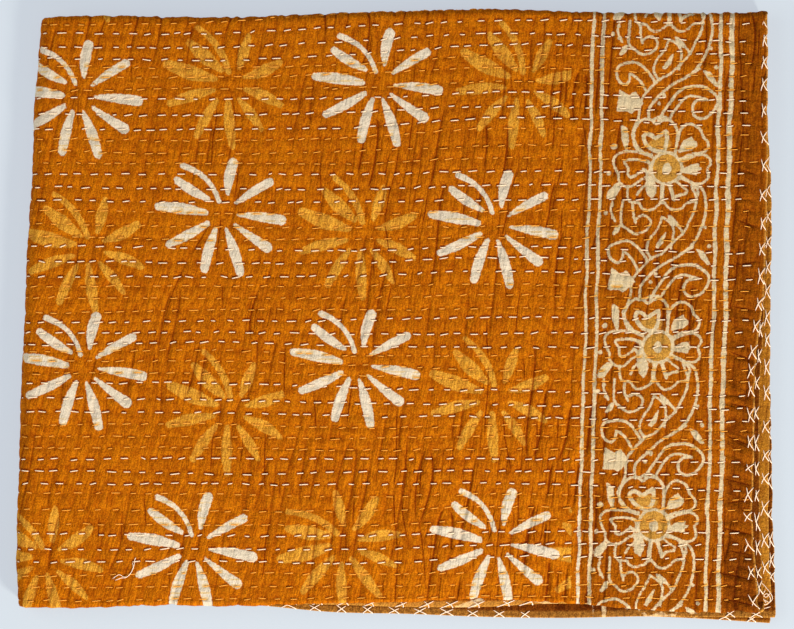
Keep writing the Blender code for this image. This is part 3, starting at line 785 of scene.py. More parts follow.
# %% The vine of the border
VINES = [Vine(*row) for row in (
    (1.3, ((22, 131), (30, 126), (33, 113), (31, 98), (26, 86), (19.5, 78), (13, 73), (1, 66),
     (-11, 55), (-16, 48), (-16, 38))),
    (1.2, ((21, 129), (25, 119), (24, 109), (20, 100), (16, 92), (8, 83.5), (0, 75), (-8, 71),
     (-18, 61), (-23, 53), (-24, 39), (-29, 27), (-24, 17), (-16, 10))),
    (1.35, ((-8, 38), (-5, 44), (1, 53), (7, 61), (13, 65), (25, 66), (32, 63), (38, 57), (38, 50),
     (32, 42), (25, 40), (20, 43), (19, 49), (22, 54), (29, 55))),
    (1.25, ((1, 38), (2, 42), (6, 49), (11, 55), (17, 58), (24, 57), (30, 55))),
    (1.25, ((-12, 69), (-15, 74), (-21, 81), (-28, 85), (-35, 84), (-42, 81), (-43, 76), (-41, 70),
     (-35, 67), (-32, 72), (-32, 76), (-28, 74), (-23, 69), (-19, 62))),
    (1.2, ((-34, 118), (-34, 100), (-29, 95), (-23, 91), (-15, 93), (-11, 99), (-13, 104),
     (-18, 106), (-23, 103))),
    (1.2, ((-26, 116), (-25, 106), (-23, 100))),
    (1.1, ((-2, 104), (5, 99), (8, 92), (7, 79))),
    (1.1, ((-2, 104), (-5, 95), (-10, 88), (-13, 81), (-12, 75), (-8, 70))),
    (1.1, ((10, 99), (13, 95), (16, 91))),
    (1.2, ((24, 80), (19, 77), (15, 75))),
    (1.1, ((-42, -26), (-43, -34), (-39, -42))),
    (1.2, ((-13, 38), (-8, 41), (-3, 41), (1, 39))),
)]
FILLED = (
    ((-42, 46), (-40, 63), (-33, 58), (-28, 61), (-21, 52), (-30, 44), (-33, 46)),
    ((2, 92), (-1, 88), (-6, 80), (-4, 79), (0, 83)),
    ((-34, 99), (-38, 97), (-41, 91), (-40, 90), (-36, 93)),
    ((27, 78), (33, 76), (39, 66), (37, 66), (31, 71)),
    ((-38, 34), (-33, 31), (-32, 22), (-33, 12), (-37, 22)),
    ((-39, -12), (-36, -15), (-42, -24), (-47, -24), (-46, -18)),
    ((3, -38), (6, -39), (10, -43), (12, -47), (7, -45), (4, -42)),
)
DOTS = ((37, 81, 1.7), (-41, 104, 1.7), (-4, 58, 1.6), (-8, 52, 1.5), (-43, 17, 2.4),
        (-46, -4, 1.8), (-47, -36, 1.7), (-42, -30, 1.2), (33, 96, 1.2))
SLIMMER, BORDER_REACH, PART_REACH = 0.82, 52, 3      # the last two in millimetres
RAIL_WOBBLE, RAIL_UNEVEN, VINE_WOBBLE = 0.9, 0.28, 0.7
strokes = [(SLIMMER * vine.half, rounded_line(vine.points, 3)) for vine in VINES]
print("border:", sum(len(line) - 1 for _, line in strokes), "pieces of vine,",
      len(FILLED), "filled leaves,", len(DOTS), "dots")


def border_print(x, y):
    """Distance to the border. Along Y it is folded into one repeat, and the parts that reach past
    the repeat are worked out one repeat up and down as well."""
    lean = np.interp(y, MIDDLE_KEYS, MIDDLE_X)
    down = np.clip((RAIL_TOP - y) / (RAIL_TOP - RAIL_BOTTOM), -0.05, 1.05)
    best = np.full(x.shape, FAR)
    for at_top, at_bottom, half in RAILS:
        wobble = RAIL_WOBBLE * hills(y, x * 0 + at_top, 17.0, 50.0, 61)
        width = half * (1 + RAIL_UNEVEN * hills(y, x * 0 + at_top, 6.0, 50.0, 62))
        best = np.minimum(best, np.abs(x - at_top - (at_bottom - at_top) * down - wobble) - width)
    u = x - lean + VINE_WOBBLE * hills(x, y, 12.0, 12.0, 63)
    v = (y - BORDER_FLOWER_Y + 0.5 * BORDER_REPEAT) % BORDER_REPEAT - 0.5 * BORDER_REPEAT
    v = v + VINE_WOBBLE * hills(x, y, 12.0, 12.0, 64)
    near = np.abs(u) < BORDER_REACH
    half_repeat = 0.5 * BORDER_REPEAT + PART_REACH
    near_u, near_v = u[near], v[near]
    inside = border_flower(near_u, near_v)
    for shift in (-BORDER_REPEAT, 0.0, BORDER_REPEAT):
        w = near_v - shift
        for half, line in strokes:
            low, high = line[:, 1].min() + shift, line[:, 1].max() + shift
            if high > -half_repeat and low < half_repeat:
                inside = np.minimum(inside, stroke(near_u, w, line, half))
        for shape in FILLED:
            inside = np.minimum(inside, filled(near_u, w, shape) - 0.4)
        for dot_x, dot_y, radius in DOTS:
            inside = np.minimum(inside, np.hypot(near_u - dot_x, w - dot_y) - radius)
    best[near] = np.minimum(best[near], inside)
    return best, u, v


# %% [markdown]
# The print is worked out for every point of the cloth from its unrolled place. The far half of the
# cloth has its own border along its own hem, so the place is mirrored about the left fold there,
# while the daisies simply repeat.

# %% The print on the whole cloth
FIELD_EDGE = 141.0                      # no daisy is printed nearer to the border
MARGIN_FROM, MARGIN_LEANS = 272.0, 12.0     # where the margin starts at the top, and how it leans
HEART = (-6.0, 19.0)                    # of a border flower: where its stained petal is
STAIN_RUN = 0.45                        # how much of the stain has run out of the flower's ring


def print_fields(x, y, fold):
    """Distances in millimetres to the cream print and the ochre print, and shares for the ochre
    stain in the border's flowers and for the brown of the margin, with a little in the border."""
    x, y, fold = x / MM, y / MM, fold / MM
    mirrored = np.where(x < fold, 2 * fold - x, x)
    in_field = mirrored < FIELD_EDGE
    cream, ochre = (np.where(in_field, field_print(x, y, name), FAR)
                    for name in ("cream", "ochre"))
    border, u, v = border_print(mirrored, y)
    r = np.hypot(u, v)
    heart = np.hypot((u - HEART[0]) / 1.5, v - HEART[1])
    stain = np.maximum(1 - ease(r, RING - 1.2, RING), 1 - ease(heart, 5.0, 7.0))
    stain = np.maximum(stain, STAIN_RUN * (1 - ease(r, RING, RING + 5)))
    down = np.clip((RAIL_TOP - y) / (RAIL_TOP - RAIL_BOTTOM), 0, 1)
    beyond = mirrored - (MARGIN_FROM - MARGIN_LEANS * down)
    # Both shares grow towards the bottom, so the margin and the border are browner there; in the
    # border this is partly painted shade.
    in_margin = 0.98 - 0.14 * np.clip(y / RAIL_TOP, -1, 1) + 0.3 * ease(-y, 178, 200)
    in_border = 0.25 + 0.2 * ease(down, 0.1, 0.35) + 0.25 * ease(down, 0.7, 1.0)
    margin = np.maximum(ease(beyond, -4, 6) * in_margin, ease(mirrored, 146, 150) * in_border)
    return np.minimum(cream, border), ochre, stain * (np.abs(u) < 30), margin


# %% [markdown]
# ## Making a sheet of cloth into a mesh
# A sheet is a grid of points on its printed side and a coarser grid on its back, which lies hidden.
# Two loops of points pushed a little outwards join their edges, so that the cloth has a thickness
# and a soft round rim instead of a knife edge. A Solidify modifier would give a square rim and
# twice the faces. Where two sheets meet end to end, the rim is left flat.

# %% Grids, loops and rims
Columns = namedtuple("Columns", "share angle")
RIM_OUT = 0.8 * MM
SHARP_FROM = math.radians(75)


def stations(*parts):
    """Places from the first to the last. Each part is (start, end, number of steps)."""
    runs = [np.linspace(a, b, n + 1)[:-1] for a, b, n in parts]
    return np.concatenate(runs + [[parts[-1][1]]])


def columns_of(over=(), turn=0, under=()):
    """Columns from the hem on top, at distances from it, round the left fold in some steps, and
    then underneath, at distances from the fold."""
    over, under = (np.asarray(places, dtype=float) for places in (over, under))
    angles = np.linspace(0, np.pi, turn + 1)[1:]
    share = np.concatenate([1 - over / HALF_WIDTH, angles * 0, under / HALF_WIDTH])
    return Columns(np.clip(share, 0, 1), np.concatenate([over * 0, angles, under * 0 + np.pi]))


def edge_loop(index):
    """The values round the edge of a grid, in order."""
    return np.concatenate([index[:-1, 0], index[-1, :-1], index[:0:-1, -1], index[0, :0:-1]])


def grid_faces(index):
    """One four-cornered face for each cell of a grid of point numbers."""
    return np.stack([index[:-1, :-1], index[1:, :-1], index[1:, 1:], index[:-1, 1:]],
                    axis=-1).reshape(-1, 4)


def sides(values, n, m):
    """One value for each side of a grid, spread over its edge loop."""
    return np.repeat(values, [n - 1, m - 1, n - 1, m - 1])


def nearest_on_coarse(n, m, skip_n, skip_m):
    """For each point of the fine edge loop, the nearest one of the coarse loop."""
    p, q = (n - 1) // skip_n, (m - 1) // skip_m
    counts, skips = (n - 1, m - 1, n - 1, m - 1), (skip_n, skip_m, skip_n, skip_m)
    starts = np.cumsum([0, p, q, p])
    runs = [start + np.floor(np.arange(count) / skip + 0.5).astype(int)
            for start, count, skip in zip(starts, counts, skips)]
    return np.concatenate(runs) % (2 * (p + q))


def add_values(mesh, name, values):
    """A number for each point, which a material can read by name."""
    mesh.attributes.new(name, "FLOAT", "POINT").data.foreach_set(
        "value", np.ascontiguousarray(values, dtype=np.float32))


def add_uv(mesh, name, uv):
    """A UV map from one pair of numbers for each point."""
    corner = np.empty(len(mesh.loops), dtype=np.int32)
    mesh.loops.foreach_get("vertex_index", corner)
    mesh.uv_layers.new(name=name).data.foreach_set("uv", uv[corner].ravel().astype(np.float32))


def add_object(name, points, faces, material):
    """A mesh object at the origin with its faces turned outwards."""
    mesh = bpy.data.meshes.new(name)
    mesh.from_pydata(points.tolist(), [], faces)
    made = bmesh.new()
    made.from_mesh(mesh)
    bmesh.ops.recalc_face_normals(made, faces=made.faces[:])
    made.to_mesh(mesh)
    made.free()
    mesh.shade_smooth()
    mesh.set_sharp_from_angle(angle=SHARP_FROM)
    mesh.materials.append(material)
    piece = bpy.data.objects.new(name, mesh)
    bpy.context.scene.collection.objects.link(piece)
    return piece


# %% [markdown]
# The quilt lies on a surface, so underneath its puffs are pressed flat and only its furrows are
# left. On its hidden side the cloth follows the relief less, so that it stays clear of the layer
# below.

# %% How far the relief stands out
PRESSED = 0.35 * MM
REAR_DOWN, REAR_UP = 0.3 * MM, 0.8 * MM


def lifted(flat_x, flat_y, sewing, angle, amount):
    """The relief times an amount, and pressed to at most nothing where the cloth has turned to
    lie face down."""
    lift = amount * relief(flat_x, flat_y, sewing)
    down = ease(angle, np.pi / 2, np.pi)
    return lift * (1 - down) + np.minimum(lift - PRESSED, 0) * down


# %% What the cotton's material reads from a sheet
INSIDE = -5.0                       # millimetres: a distance well inside a print
OUTER_RIM_HIGHLIGHT, LEAF_RIM_HIGHLIGHT = 0.55, 0.2     # painted highlight: how bright the cloth is at its very edge
LEAF_EDGE_HIGHLIGHT, LEAF_EDGE_HIGHLIGHT_LOW = 0.4, 0.25     # painted highlight of the inner leaves' edges, the second in the lower half
# inner leaves: browner cloth with painted shade between the layers; underneath, all painted shade
LEAF_BROWN_AND_SHADE, LEAF_BROWN_AND_SHADE_UP, UNDER_PAINTED_SHADE = 1.6, 0.7, 1.2      # the second for each metre up


def cotton_values(x, y, fold, sewing, rim, rear, from_hem, inner):
    """Numbers for each point of a sheet, by name: distances to the print, to the valleys and to
    the stitches, and shares for stain, margin, painted shade in hollows, painted highlight at the
    rim, and back. An inner leaf is browner, partly as painted shade between the layers, and darker
    underneath as painted shade, with a painted highlight along its edge and no marks of stitches."""
    cream, ochre, stain, margin = print_fields(x, y, fold)
    # painted shade in the creases and in the valleys of the level wrinkles
    hollow_shade = np.maximum(0.5 * (crease_depth(x, y) / MM) ** 2,
                        3.6 * np.maximum(-level_wrinkles(x, y), 0) ** 2)
    crease, crease_deep = crease_lines(x, y)
    wide, narrow, wide_deep, narrow_deep = pucker_fields(x, y)
    past, on_top = past_stitch(sewing.line, x) / MM, x > fold
    if inner:
        ochre = np.where(margin > 0.75, INSIDE, ochre)
        # On top, browner cloth with painted shade between the layers; underneath, painted shade.
        margin = np.where(on_top, LEAF_BROWN_AND_SHADE + LEAF_BROWN_AND_SHADE_UP * y, UNDER_PAINTED_SHADE)
        edge_highlight = LEAF_EDGE_HIGHLIGHT + LEAF_EDGE_HIGHLIGHT_LOW * ease(-y, 60 * MM, 110 * MM)
        rim = np.maximum(rim, edge_highlight * on_top * ease(from_hem, 5.5 * MM, 3.5 * MM))
        # underneath, the back's colour too is painted shade
        past, rear = past + FAR, np.maximum(rear, 0.8 * ~on_top)
    return {"cream": cream, "ochre": ochre, "stain": stain, "margin": margin, "hollow_shade": hollow_shade,
            "crease": crease, "crease_deep": crease_deep,
            "near": ease(np.abs(sewing.between - sewing.line), 0.3, 0.2),
            "wide": wide, "wide_deep": wide_deep, "narrow": narrow, "narrow_deep": narrow_deep,
            "past": past, "off": off_thread(sewing, x) / MM,
            "ochre_line": ~IS_WHITE[sewing.line], "back": rear, "rim": rim}


# %% One sheet of the quilt
def make_sheet(name, columns, rows, skip, rims, amount, material):
    """A closed sheet: fine grid, coarse back, and two loops between them. Skip is how many fine
    steps make a coarse one, across and up. Rims say which of the four edges are rounded: the first
    row, the last column, the last row, the first column. Amount is how much relief it shows."""
    share, angle = columns.share[:, None], columns.angle[:, None]
    flat_x, flat_y = unrolled(share, angle, rows)
    fold = stack_at(share, angle, rows).fold_x + flat_x * 0
    sewing = sewing_at(flat_x, flat_y)
    lift = lifted(flat_x, flat_y, sewing, angle, amount)
    front = place(share, angle, rows, CLOTH / 2 + lift) + SHIFT
    rear_lift = np.clip(0.6 * lift, -REAR_DOWN, REAR_UP)
    rear = place(share, angle, rows, -CLOTH / 2 + rear_lift) + SHIFT
    n, m = flat_x.shape
    out = front * 0
    out[0], out[-1] = front[0] - front[1], front[-1] - front[-2]
    out[:, 0], out[:, -1] = front[:, 0] - front[:, 1], front[:, -1] - front[:, -2]
    loop = edge_loop(np.arange(n * m).reshape(n, m))
    flat = [a.reshape(n * m, -1) for a in (front, rear, out)]
    front_edge, rear_edge, out_edge = (a[loop] for a in flat)
    out_edge *= (sides(rims, n, m) * RIM_OUT / np.linalg.norm(out_edge, axis=1))[:, None]
    loops = [(1 - t) * front_edge + t * rear_edge + out_edge for t in (0.25, 0.75)]

    skip_n, skip_m = skip
    coarse = np.arange(n * m).reshape(n, m)[::skip_n, ::skip_m]
    points = np.concatenate([flat[0], flat[1][coarse.ravel()], *loops])
    at_rear = n * m
    at_loops = at_rear + coarse.size
    first = at_loops + np.arange(len(loop))
    second = first + len(loop)
    rear_index = at_rear + np.arange(coarse.size).reshape(coarse.shape)
    near = edge_loop(rear_index)[nearest_on_coarse(n, m, skip_n, skip_m)]
    turned = [np.roll(a, -1) for a in (loop, first, second, near)]
    same = near == turned[3]
    faces = [*grid_faces(np.arange(n * m).reshape(n, m)).tolist(),
             *grid_faces(rear_index).tolist(),
             *np.stack([loop, turned[0], turned[1], first], 1).tolist(),
             *np.stack([first, turned[1], turned[2], second], 1).tolist(),
             *np.stack([second, turned[2], near], 1)[same].tolist(),
             *np.stack([second, turned[2], turned[3], near], 1)[~same].tolist()]

    source = np.concatenate([np.arange(n * m), coarse.ravel(), loop, loop])
    piece = add_object(name, points, faces, material)
    x, y = flat_x.ravel()[source], flat_y.ravel()[source]
    inner, edge = amount < 1, sides(rims, n, m)
    # a painted highlight along the rounded rims
    rim = np.concatenate([np.zeros(n * m + coarse.size), edge, edge])
    rim[loop] = (LEAF_RIM_HIGHLIGHT if inner else OUTER_RIM_HIGHLIGHT) * edge
    from_hem = np.abs(flat_y - flat_y[:, -1:]).ravel()[source]
    rear = np.repeat([0.0, 1.0, 0.0, 1.0], [n * m, coarse.size, len(loop), len(loop)])
    values = cotton_values(x, y, fold.ravel()[source],
                           Sewing(*(field.ravel()[source] for field in sewing)),
                           rim, rear, from_hem, inner)
    for title, numbers in values.items():
        add_values(piece.data, title, numbers)
    add_uv(piece.data, "cloth", np.stack([x, y], axis=1))
    piece.data.calc_loop_triangles()
    print(f"{name}: {len(piece.data.loop_triangles)} triangles")
    return piece, (float(np.ptp(flat_x, axis=0).mean()), float(np.ptp(flat_y, axis=1).mean()))

# %% [markdown]
# ## Materials from nodes
# Each finish is a small tree of nodes. A helper adds one node and fills its sockets, from numbers
# or from other nodes' outputs, so that a tree reads as a list of steps.

# %% A helper for nodes
def add_node(tree, kind, settings=None, **inputs):
    """One node. Settings are its own choices; inputs fill its sockets by name, with an underscore
    for a space, or by number as in n0. A value that is an output socket is linked."""
    node = tree.nodes.new(kind)
    for key, value in (settings or {}).items():
        setattr(node, key, value)
    for key, value in inputs.items():
        number = key[1:].isdigit() and key[0] == "n"
        socket = node.inputs[int(key[1:])] if number else node.inputs[key.replace("_", " ")]
        if isinstance(value, bpy.types.NodeSocket):
            tree.links.new(value, socket)
        else:
            socket.default_value = value
    return node


def noise(tree, vector, scale, detail=2.0, rough=0.5):
    """Cloudy noise, as a number about a half."""
    return add_node(tree, "ShaderNodeTexNoise", Vector=vector, Scale=scale, Detail=detail,
                    Roughness=rough).outputs["Fac"]


def calc(tree, operation, a, b=0.0, c=0.0):
    """One sum on numbers."""
    return add_node(tree, "ShaderNodeMath", {"operation": operation}, n0=a, n1=b, n2=c).outputs[0]


def between(tree, value, low, high, to_low=0.0, to_high=1.0):
    """The value's way from low to high, smoothed, as a number from to_low to to_high."""
    return add_node(tree, "ShaderNodeMapRange", {"interpolation_type": "SMOOTHSTEP"}, Value=value,
                    From_Min=low, From_Max=high, To_Min=to_low, To_Max=to_high).outputs["Result"]


def blend(tree, share, first, second, way="MIX"):
    """Two colours mixed by a share."""
    node = add_node(tree, "ShaderNodeMix", {"data_type": "RGBA", "blend_type": way})
    for number, value in ((0, share), (6, first), (7, second)):
        if isinstance(value, bpy.types.NodeSocket):
            tree.links.new(value, node.inputs[number])
        else:
            node.inputs[number].default_value = value
    return node.outputs[2]


def bump(tree, height, strength, distance, **inputs):
    """The normal of a surface roughened by a height, perhaps on top of another normal."""
    return add_node(tree, "ShaderNodeBump", Height=height, Strength=strength, Distance=distance,
                    **inputs).outputs["Normal"]


def new_material(name):
    """A material with nodes, its tree, and the sockets of its shader."""
    material = bpy.data.materials.new(name)
    material.use_nodes = True
    tree = material.node_tree
    return material, tree, tree.nodes["Principled BSDF"].inputs


def read(tree, name):
    """A number stored on the mesh."""
    return add_node(tree, "ShaderNodeAttribute", {"attribute_name": name}).outputs["Fac"]


def new_group(name, inputs, outputs):
    """An empty node group with named sockets, given as (name, kind)."""
    group = bpy.data.node_groups.new(name, "ShaderNodeTree")
    for way, sockets in (("INPUT", inputs), ("OUTPUT", outputs)):
        for title, kind in sockets:
            group.interface.new_socket(name=title, in_out=way, socket_type=kind)
    return group, group.nodes.new("NodeGroupInput").outputs, group.nodes.new("NodeGroupOutput")


# %% Short names for common sums
def times(tree, first, second):
    """Two numbers multiplied."""
    return calc(tree, "MULTIPLY", first, second)


def times_plus(tree, first, second, third):
    """Two numbers multiplied, and a third added."""
    return calc(tree, "MULTIPLY_ADD", first, second, third)


def away_from(tree, value, middle=0.0):
    """How far a number is from a middle one, either way."""
    return calc(tree, "ABSOLUTE", calc(tree, "SUBTRACT", value, middle))


def largest(tree, first, *others):
    """The largest of some numbers."""
    for other in others:
        first = calc(tree, "MAXIMUM", first, other)
    return first


# %% [markdown]
# The weave is plain: threads go over and under each other both ways, a thread about every half
# millimetre. Two sine waves make it, one along each way, with slubs where a thread is thicker. The
# same group serves the cloth and the sewing threads, each at its own scale.

# %% The weave, as a node group
VECTOR, FLOAT = "NodeSocketVector", "NodeSocketFloat"
weave, given, result = new_group(
    "plain_weave", [("Place", VECTOR), ("Threads", FLOAT), ("Slub", FLOAT)],
    [("Height", FLOAT), ("Thin", FLOAT)])
where = add_node(weave, "ShaderNodeSeparateXYZ", Vector=given["Place"])
wander = noise(weave, given["Place"], 420.0, 1.0)
turns = times(weave, given["Threads"], 2 * math.pi)
shift = times(weave, wander, given["Slub"])
waves = [calc(weave, "SINE", times_plus(weave, where.outputs[i], turns, shift)) for i in (0, 1)]
height = times(weave, *waves)
weave.links.new(times_plus(weave, height, 0.5, 0.5), result.inputs["Height"])
weave.links.new(noise(weave, given["Place"], 160.0, 3.0), result.inputs["Thin"])

# %% The ragged edge of a block print, as a node group
ragged, given, result = new_group(
    "ragged_print", [("Place", VECTOR), ("Distance", FLOAT), ("Ragged", FLOAT), ("Soft", FLOAT)],
    [("Share", FLOAT)])
coarse_edge = calc(ragged, "SUBTRACT", noise(ragged, given["Place"], 420.0, 2.0, 0.6), 0.5)
edge = times_plus(ragged, coarse_edge, given["Ragged"], given["Distance"])
soft_low = times(ragged, given["Soft"], -1.0)
ragged.links.new(between(ragged, edge, given["Soft"], soft_low), result.inputs["Share"])

# %% [markdown]
# ## Printed cotton
# The ground is mustard, dyed a little unevenly, with painted shade where the cloth is hollow. On it
# lie the pale ochre print, which lets the ground show through, and the cream print, which is
# opaque.
# The margin past the border is browner, and so is the back of the cloth. A painted highlight runs
# along the rims. The puckers' valleys and the long creases get painted shade, drawn sharply where
# fields stored on the mesh cross zero, as a contour line runs on a map, and a stretched noise adds
# a finer kind. Beside each stitch a painted shadow darkens the cloth: a line above it, a fainter
# one below, and a spot of shade at both ends where the needle went in. Those marks are cut from
# distances stored on the mesh, as the print is, so they stay sharp.

# %% The colours of the cotton
GROUND, GROUND_DEEP = (0.645, 0.182, 0.002, 1), (0.49, 0.115, 0.001, 1)
OCHRE_PRINT, OCHRE_THIN = (0.85, 0.4, 0.04, 1), (0.79, 0.345, 0.026, 1)
CREAM, CREAM_GREY = (0.74, 0.62, 0.45, 1), (0.66, 0.555, 0.395, 1)
BORDER_CREAM, STAIN = (0.675, 0.53, 0.31, 1), (0.636, 0.319, 0.05, 1)
MARGIN_BROWN, BACK_BROWN = (0.225, 0.052, 0.002, 1), (0.22, 0.055, 0.003, 1)
# painted highlight along the cloth's rims
RIM_HIGHLIGHT = (0.88, 0.43, 0.07, 1)
RUN_DYE = (0.66, 0.37, 0.02, 1)         # where the ochre thread's dye has run into the cream
# painted shade in the hollows, valleys and creases: on the ground, then on the cream
VALLEY_SHADE, CREAM_SHADE = (0.39, 0.215, 0.175, 1), (0.62, 0.52, 0.44, 1)
THREAD_SHADE = (0.4, 0.2, 0.16, 1)      # painted shadow beside a stitch and in its needle holes
GRAIN_SHADE, RUBBED_SHADE = (0.54, 0.5, 0.48, 1), (0.58, 0.52, 0.48, 1)
WHITE = (1, 1, 1, 1)


# %% Valleys and creases of the cotton, for painted shade and bumps
SQUEEZED = 0.17         # the finest valleys' width, as a share of their length


def upright_noise(tree, flat):
    """A fine noise, drawn out upright along the puckers' lean, as on the mesh."""
    at = add_node(tree, "ShaderNodeSeparateXYZ", Vector=flat).outputs
    lean = times_plus(tree, at["X"], LEAN_MORE, -LEAN)
    place = add_node(tree, "ShaderNodeCombineXYZ", X=times_plus(tree, lean, at["Y"], at["X"]),
                     Y=times(tree, at["Y"], SQUEEZED))
    return noise(tree, place.outputs[0], 290.0, 2.0)


def valleys(tree, finest, halves, shares):
    """The mesh's own two kinds of valleys and the finest kind, which runs where a noise is at its
    middle value. Each is drawn sharply, with its own half width and share."""
    kinds = [times(tree, between(tree, away_from(tree, read(tree, name)), half, 0.0),
                   read(tree, name + "_deep")) for name, half in zip(("wide", "narrow"), halves)]
    kinds.append(between(tree, away_from(tree, finest, 0.5), halves[2], 0.0))
    return largest(tree, *(times(tree, kind, share) for kind, share in zip(kinds, shares)))


def painted_crease_shade(tree, crumpled):
    """Painted shade in the long creases, with crumpled edges."""
    beside = away_from(tree, times_plus(tree, crumpled, 0.9, read(tree, "crease")))
    return times(tree, between(tree, beside, 1.0, 0.15),
                 between(tree, read(tree, "crease_deep"), 0.1, 0.95))


# %% Painted shadow round a stitch, and the dye run from it
def thread_shade(tree, cream_here):
    """Painted shadow: the dark line above a stitch, the fainter one below and the spots of shade at
    its ends, all weaker beside ochre thread and on the cream print."""
    past, off = read(tree, "past"), read(tree, "off")
    above = times(tree, between(tree, off, 0.1, 0.6), between(tree, off, 2.4, 1.6))
    below = times(tree, between(tree, off, -0.1, -0.6), between(tree, off, -1.8, -0.9))
    line = times(tree, between(tree, past, 0.5, -0.4), times_plus(tree, below, 0.2, above))
    spot = times(tree, between(tree, past, -1.2, -0.4), between(tree, past, 1.0, 0.2))
    spot = times(tree, spot, between(tree, away_from(tree, off), 1.2, 0.4))
    shade = times(tree, largest(tree, line, times(tree, spot, 0.8)),
                  times_plus(tree, read(tree, "ochre_line"), -0.4, 0.85))
    near = between(tree, read(tree, "near"), 0, 0.3)
    return times(tree, times(tree, shade, near), times_plus(tree, cream_here, -0.7, 1))


def run_dye(tree, crumpled):
    """Where the dye of an ochre stitch has run, with crumpled edges."""
    off = away_from(tree, times_plus(tree, crumpled, 1.6, read(tree, "off")), 0.3)
    dyed = times(tree, read(tree, "ochre_line"), between(tree, read(tree, "past"), 1.8, 0.4))
    return times(tree, dyed, between(tree, off, 2.0, 1.0))


# %% Printed cotton
def printed_cotton():
    """The material of all the sheets. The print, the margin and the back lie on the ground; painted
    shade in the hollows and beside the stitches, and the grain, darken it; a painted highlight
    lightens its rim, and bumps roughen it."""
    material, tree, shader = new_material("printed_cotton")
    flat = add_node(tree, "ShaderNodeUVMap", {"uv_map": "cloth"}).outputs["UV"]
    woven = add_node(tree, "ShaderNodeGroup", {"node_tree": weave}, Place=flat, Threads=1900.0,
                     Slub=9.0)
    thin = woven.outputs["Thin"]
    cloud = noise(tree, flat, 22.0, 4.0, 0.6)
    speck = noise(tree, flat, 850.0, 2.0, 0.7)
    crumple = noise(tree, flat, 330.0, 2.0, 0.6)
    crumpled = calc(tree, "SUBTRACT", crumple, 0.5)
    finest = upright_noise(tree, flat)
    margin = read(tree, "margin")

    def printed(name, rough_edge, soft):
        return add_node(tree, "ShaderNodeGroup", {"node_tree": ragged}, Place=flat,
                        Distance=read(tree, name), Ragged=rough_edge, Soft=soft).outputs["Share"]

    deep = calc(tree, "ADD", times(tree, cloud, 0.28), times(tree, thin, 0.72))
    colour = blend(tree, between(tree, deep, 0.40, 0.66), GROUND, GROUND_DEEP)
    ochre = blend(tree, between(tree, deep, 0.38, 0.66), OCHRE_PRINT, OCHRE_THIN)
    colour = blend(tree, times(tree, printed("ochre", 2.4, 0.6), 0.93), colour, ochre)
    # The margin's brown and the back's colour; on the inner leaves the brown is partly painted
    # shade between the layers, and underneath both are painted shade.
    colour = blend(tree, times(tree, margin, 0.62), colour, MARGIN_BROWN)
    colour = blend(tree, times(tree, read(tree, "back"), 0.9), colour, BACK_BROWN)
    # Painted shade in the hollows, the puckers' valleys and the long creases.
    hollow_shade = between(tree, read(tree, "hollow_shade"), 0.1, 1.3)
    valley = valleys(tree, finest, (0.22, 0.26, 0.075), (1.5, 1.0, 0.5))
    painted_shade = largest(tree, times(tree, hollow_shade, 0.8), times(tree, valley, 0.95),
                   painted_crease_shade(tree, crumpled))
    painted_shade = calc(tree, "MINIMUM", painted_shade, 1.0)
    colour = blend(tree, painted_shade, colour, VALLEY_SHADE, "MULTIPLY")

    cream = blend(tree, between(tree, thin, 0.42, 0.68), CREAM, CREAM_GREY)
    cream = blend(tree, between(tree, margin, 0.05, 0.20), cream, BORDER_CREAM)
    # the same painted shade, weaker, on the cream
    cream = blend(tree, times(tree, painted_shade, 0.30), cream, CREAM_SHADE, "MULTIPLY")
    cream = blend(tree, times(tree, run_dye(tree, crumpled), 0.5), cream, RUN_DYE)
    cream_here = printed("cream", 2.0, 0.34)
    colour = blend(tree, times(tree, read(tree, "stain"), 0.92), colour, STAIN)
    colour = blend(tree, cream_here, colour, cream)
    # painted highlight along the rim
    colour = blend(tree, times(tree, read(tree, "rim"), 0.75), colour, RIM_HIGHLIGHT)
    # painted shadow beside each stitch
    colour = blend(tree, thread_shade(tree, cream_here), colour, THREAD_SHADE, "MULTIPLY")
    grain = blend(tree, between(tree, speck, 0.34, 0.66), GRAIN_SHADE, WHITE)
    colour = blend(tree, times_plus(tree, cream_here, -0.55, 1), colour, grain, "MULTIPLY")
    rubbed = blend(tree, between(tree, crumple, 0.36, 0.62), RUBBED_SHADE, WHITE)
    colour = blend(tree, times(tree, margin, 0.55), colour, rubbed, "MULTIPLY")
    tree.links.new(colour, shader["Base Color"])
    tree.links.new(between(tree, thin, 0.2, 0.8, 0.82, 0.96), shader["Roughness"])
    shader["Specular IOR Level"].default_value = 0.03

    folds = times_plus(tree, valleys(tree, finest, (0.45, 0.5, 0.2), (1.35, 0.85, 0.4)), -1.0,
                       crumple)
    normal = bump(tree, folds, 1.0, 0.0009)
    normal = bump(tree, speck, 1.0, 0.00025, Normal=normal)
    normal = bump(tree, woven.outputs["Height"], 0.5, 0.00003, Normal=normal)
    tree.links.new(normal, shader["Normal"])
    return material


# %% [markdown]
# ## Sewing thread
# The stitches are thick soft cotton thread, twisted from strands. The twist shows as fine slanting
# ridges, so the same wave group is laid on the thread's own length and the way round it.

# %% Thread
# painted shade where a stitch's ends dive into the cloth
THREAD_END_SHADE = (0.30, 0.10, 0.05, 1)


